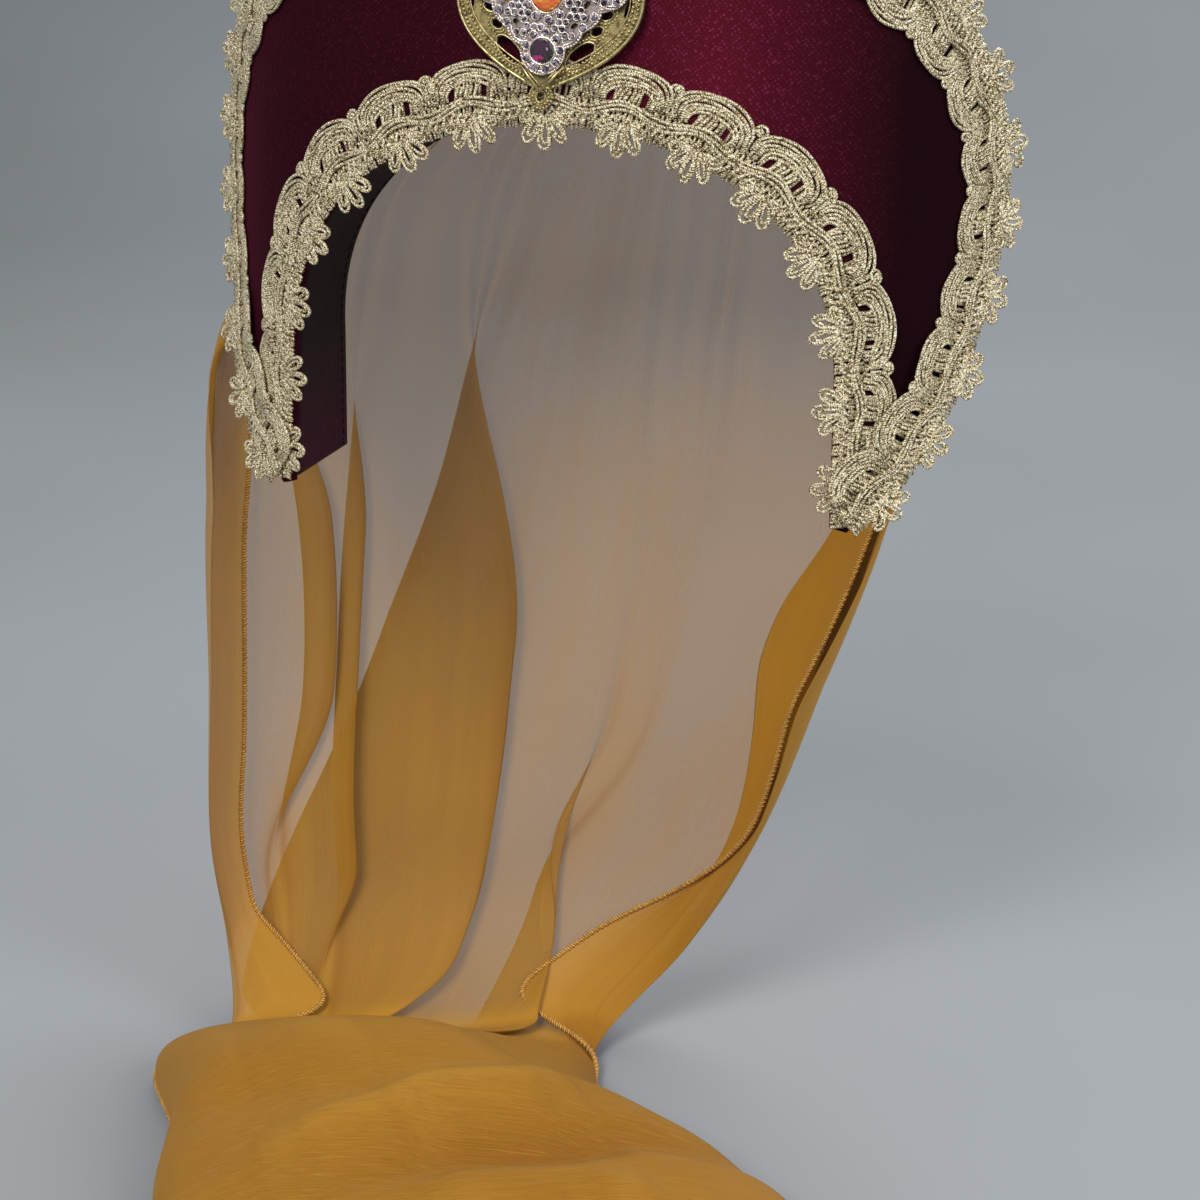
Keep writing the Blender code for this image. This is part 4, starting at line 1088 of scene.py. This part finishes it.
def chiffonMaterial():
    material, tree, shader = newMaterial("ochre_chiffon")
    lie, paintedShade = attribute(tree, "lying"), attribute(tree, "paintedShade")
    hanging = noise(tree, uvPlace(tree, (420, 9, 1), (0, 0, math.radians(2))), 1.0, 4.0, 0.6)
    heaped = noise(tree, uvPlace(tree, (60, 2400, 1), (0, 0, math.radians(-5))), 1.0, 3.0, 0.6)
    crinkle = addNode(tree, "Mix", {"data_type": "FLOAT"}, {0: lie, 2: hanging, 3: heaped}).outputs[0]
    grain = noise(tree, uvPlace(tree), 2600.0, 2.0, 0.6)
    cloud = noise(tree, uvPlace(tree, (24, 9, 1), (0, 0, math.radians(20))), 1.0, 3.0, 0.5)
    streak = maths(tree, "MULTIPLY", maths(tree, "SUBTRACT", crinkle, 0.5), veil["streaks"])
    uneven = maths(tree, "MULTIPLY", maths(tree, "SUBTRACT", cloud, 0.5), veil["clouds"])
    fullnessAndHighlight = maths(tree, "ADD", maths(tree, "ADD", attribute(tree, "fullnessAndHighlight"), streak), uneven, True)
    colour = ramp(tree, fullnessAndHighlight, [(0.0, veil["sheer"]), (0.45, veil["middle"]), (1.0, veil["full"])])
    colour = mixColour(tree, maths(tree, "MULTIPLY", grain, 0.25), colour, veil["grain"])
    # painted shade at the pleats' turns, in the heap's valley and on its right side
    colour = mixColour(tree, paintedShade, colour, veil["paintedShade"])
    for stops, much, tone in ((((0.52, 0), (0.66, 1)), 0.30, "light"),         # crests get a painted highlight
                              (((0.34, 1), (0.48, 0)), 0.35, "paintedShade")):       # and hollows get painted shade
        lines = ramp(tree, crinkle, [(place, (value,) * 3) for place, value in stops])
        shown = maths(tree, "MULTIPLY", lines, maths(tree, "MULTIPLY", lie, much))
        colour = mixColour(tree, shown, colour, veil[tone])
    tree.links.new(colour, shader.inputs["Base Color"])
    fullnessAndHighlight = maths(tree, "ADD", fullnessAndHighlight, maths(tree, "MULTIPLY", paintedShade, 0.5), True)
    tree.links.new(spread(tree, fullnessAndHighlight, 0.0, 0.85, veil["clearest"], 1.0), shader.inputs["Alpha"])
    high = maths(tree, "ADD", crinkle, maths(tree, "MULTIPLY", grain, 0.25))
    tree.links.new(bump(tree, high, 0.6, 0.0011), shader.inputs["Normal"])
    setShader(shader, {"Roughness": 0.62, "Sheen Weight": 0.22, "Sheen Roughness": 0.4,
                       "Sheen Tint": (1.0, 0.66, 0.20, 1), "Specular IOR Level": 0.2})
    return material


def hemMaterial():
    material, tree, shader = newMaterial("overlocked_thread")
    strands = bands(tree, uvPlace(tree, (1300, 2, 1)), "DIAGONAL", 0.5, 1.0)
    tint = noise(tree, objectPlace(tree), 240.0, 3.0, 0.6)
    shown = maths(tree, "MULTIPLY", strands, tint)
    colour = ramp(tree, shown, [(0.1, veil["hemDark"]), (0.5, veil["hemLight"])])
    tree.links.new(colour, shader.inputs["Base Color"])
    tree.links.new(bump(tree, strands, 0.6, 0.0003), shader.inputs["Normal"])
    setShader(shader, {"Roughness": 0.55, "Sheen Weight": 0.3, "Sheen Roughness": 0.4})
    return material


fullKnots = (                # knot, breadth in knots, how much fuller, 1 where it grows with the folds
    (0.0, 1.4, 0.42, 0), (4.5, 0.8, 0.35, 1), (6.5, 0.55, 0.32, 1), (9.0, 1.45, 0.24, 1),
    (12.5, 0.9, 0.20, 1), (17.3, 1.5, 0.74, 0), (19.0, 0.9, 0.30, 0),
)
creaseKnots = (              # knot, and the share along from which its turn gets painted shade
    (1, 0.18), (4, 0.26), (5, 0.26), (6, 0.28), (7, 0.28), (8, 0.28), (10, 0.28), (12, 0.42), (13, 0.42),
)


# How full the cloth looks, 1 where it lies heaped and less along the hems and gathers, with a painted
# highlight along the heap's ridge; where it lies; and painted shade at the pleats' turns, in the hollow of
# the heap and on the heap's right.
def veilFullnessAndShade(columns, along):
    share, cloth = along[:, None], columns[None]
    count = len(columns) - 1
    lying = eased(np.clip((share - 0.62) / 0.05, 0.0, 1.0)) + 0 * cloth
    full = lying + 0.45 * np.clip(1 - share / 0.16, 0.0, 1.0)
    knot = cloth * count / veil["perKnot"]
    hanging = np.clip((share - 0.18) / 0.14, 0.0, 1.0)
    opened = np.clip((share - 0.30) / 0.18, 0.0, 1.0)
    for middle, wide, much, grows in fullKnots:
        grown = hanging * (opened if grows else 1.0)
        full = full + much * grown * np.exp(-((knot - middle) / wide) ** 4)
    paintedShade = 0 * cloth * share
    for turn, first in creaseKnots:
        strength = 0.48 * np.clip((share - first) / 0.12, 0.0, 1.0) * (1 - lying)
        paintedShade = paintedShade + strength * np.exp(-((knot - turn) / 0.13) ** 2)
    # a painted highlight along the heap's ridge and painted shade in its valley
    ridgeHighlight = np.exp(-((cloth - 0.48) / 0.24) ** 2 - ((share - 0.857 + 0.13 * (cloth - 0.50)) / 0.010) ** 2)
    valley = np.exp(-((cloth - 0.60) / 0.20) ** 2 - ((share - 0.889 + 0.10 * (cloth - 0.60)) / 0.016) ** 2)
    full = np.clip(full, 0.0, 1.0) - 0.24 * ridgeHighlight
    paintedShade = paintedShade + 0.62 * valley + 0.30 * lying * np.clip((cloth - 0.66) / 0.2, 0.0, 1.0)
    return full, lying, np.clip(paintedShade, 0.0, 0.7)


def makeVeil():
    points, inside, columns, along = veilSurface()
    rows, count = points.shape[:2]
    quads, places = gridQuads(rows, count)
    uv = np.stack([np.stack((columns[c] * veil["flatWidth"], along[r] * veil["flatLength"]), axis=-1)
                   for r, c in places], axis=1)
    bundle = newBundle()
    addSurface(bundle, points, quads, uv)
    cloth = makePiece("veil_cloth", bundle, chiffonMaterial())
    full, lying, paintedShade = veilFullnessAndShade(columns, along)
    for name, values in (("fullnessAndHighlight", full), ("lying", lying), ("paintedShade", paintedShade)):
        layer = cloth.data.attributes.new(name, "FLOAT", "POINT")
        layer.data.foreach_set("value", values.astype(np.float32).ravel())

    # the hem: a thin corded edge along both sides and the free end, its rings swelling as it twists
    border = np.concatenate((points[2:, 0], points[-1, 1:-1], points[:1:-1, -1]))
    facing = np.concatenate((inside[2:, 0], inside[-1, 1:-1], inside[:1:-1, -1]))
    length = lengthAlong(border)
    even = np.arange(0.0, length[-1], veil["hemStep"])
    path = readAt(even, length, border)
    ups = readAt(even, length, facing)
    turn = np.arange(6) * math.pi / 3
    wave = np.sin(2 * math.pi * even[:, None] / veil["hemTwist"] + turn[None])
    swell = veil["edge"] * (1 + veil["hemSwell"] * wave)
    bundle = newBundle()
    addCords(bundle, path[None], ups[None], swell[None], 6)
    hem = makePiece("veil_hem", bundle, hemMaterial())
    return cloth, hem


cloth, hem = makeVeil()
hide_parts("veil")
print("veil made", len(cloth.data.polygons), len(hem.data.polygons))


# Ground, light and camera

stage = {
    "ground": -0.3388, "side": 3.2, "near": -3.0, "bendAt": 1.3, "radius": 0.9, "top": 3.0,
    "colour": (0.620, 0.655, 0.710), "shadeAndMottle": (0.214, 0.224, 0.224),
}


# A sheet that runs flat to bendAt, turns up through a quarter circle and rises to the top.
def makeStage():
    arc = np.linspace(0.0, math.pi / 2, 16)
    depth = np.concatenate(([stage["near"]], stage["bendAt"] + stage["radius"] * np.sin(arc),
                            [stage["bendAt"] + stage["radius"]]))
    height = np.concatenate(([0.0], stage["radius"] * (1 - np.cos(arc)), [stage["top"]])) + stage["ground"]
    side = np.array((-stage["side"], stage["side"]))
    points = np.stack((np.broadcast_to(side[None], (len(depth), 2)),
                       np.broadcast_to(depth[:, None], (len(depth), 2)),
                       np.broadcast_to(height[:, None], (len(depth), 2))), axis=-1)
    quads, _ = gridQuads(len(depth), 2)
    mesh = bpy.data.meshes.new("ground_sweep")
    mesh.from_pydata(points.reshape(-1, 3).tolist(), [], quads[:, ::-1].tolist())
    mesh.polygons.foreach_set("use_smooth", np.full(len(quads), True))
    sweep = bpy.data.objects.new("ground_sweep", mesh)
    bpy.context.scene.collection.objects.link(sweep)
    material, tree, shader = newMaterial("pale_sweep")
    # The sweep's tone: random mottling, with painted light rising up the sweep and painted shade towards its
    # left.
    mottle = maths(tree, "MULTIPLY", noise(tree, objectPlace(tree), 1.6, 3.0, 0.5), 0.25)
    across = spread(tree, placeAxis(tree, "X"), -1.3, 0.3, 0.0, 0.12)
    above = spread(tree, placeAxis(tree, "Z"), 0.0, 0.8, 0.0, 0.65)
    tone = maths(tree, "ADD", mottle, maths(tree, "ADD", across, above), True)
    tree.links.new(mixColour(tree, tone, stage["shadeAndMottle"], stage["colour"]), shader.inputs["Base Color"])
    setShader(shader, {"Roughness": 0.9, "Specular IOR Level": 0.1})
    mesh.materials.append(material)


lights = {                   # place, aimed at, width, height, power, colour
    "key":   ((-0.35, -1.5, 1.30), (0.0, 0.0, -0.05), 0.9, 0.9, 29.0, (1.0, 0.98, 0.95)),
    "right": ((1.6, -0.4, 0.8), (0.0, 0.0, -0.1), 1.0, 1.2, 16.0, (0.95, 0.97, 1.0)),
    "back":  ((0.2, 1.1, 1.5), (-0.05, 0.1, -0.2), 1.6, 0.9, 20.0, (1.0, 0.98, 0.96)),
}
camera = {
    "place": (0.2035, -0.6370, 0.0850), "looks": (-0.2758, 0.9020, -0.3322), "lens": 67.5, "sensor": 36.0,
}


def makeLights():
    for name, (place, aim, wide, high, power, colour) in lights.items():
        lamp = bpy.data.lights.new(name + "_light", "AREA")
        lamp.shape = "RECTANGLE"
        lamp.size, lamp.size_y, lamp.energy, lamp.color = wide, high, power, colour
        held = bpy.data.objects.new(name + "_light", lamp)
        held.location = place
        held.rotation_euler = (Vector(aim) - Vector(place)).to_track_quat("-Z", "Y").to_euler()
        bpy.context.scene.collection.objects.link(held)
    world = bpy.data.worlds.new("soft_room")
    world.use_nodes = True
    world.node_tree.nodes["Background"].inputs["Color"].default_value = (0.86, 0.92, 1.0, 1.0)
    world.node_tree.nodes["Background"].inputs["Strength"].default_value = 0.42
    bpy.context.scene.world = world


def makeCamera():
    lens = bpy.data.cameras.new("photo_camera")
    lens.lens, lens.sensor_width, lens.sensor_fit = camera["lens"], camera["sensor"], "HORIZONTAL"
    lens.clip_start, lens.clip_end = 0.02, 20.0
    held = bpy.data.objects.new("photo_camera", lens)
    held.location = camera["place"]
    held.rotation_euler = Vector(camera["looks"]).to_track_quat("-Z", "Y").to_euler()
    bpy.context.scene.collection.objects.link(held)
    bpy.context.scene.camera = held


makeStage()
makeLights()
makeCamera()
bpy.context.scene.view_settings.view_transform = "Standard"
bpy.context.scene.cycles.transparent_max_bounces = 32      # the veil's folds lie many layers deep
print("stage, light and camera made")
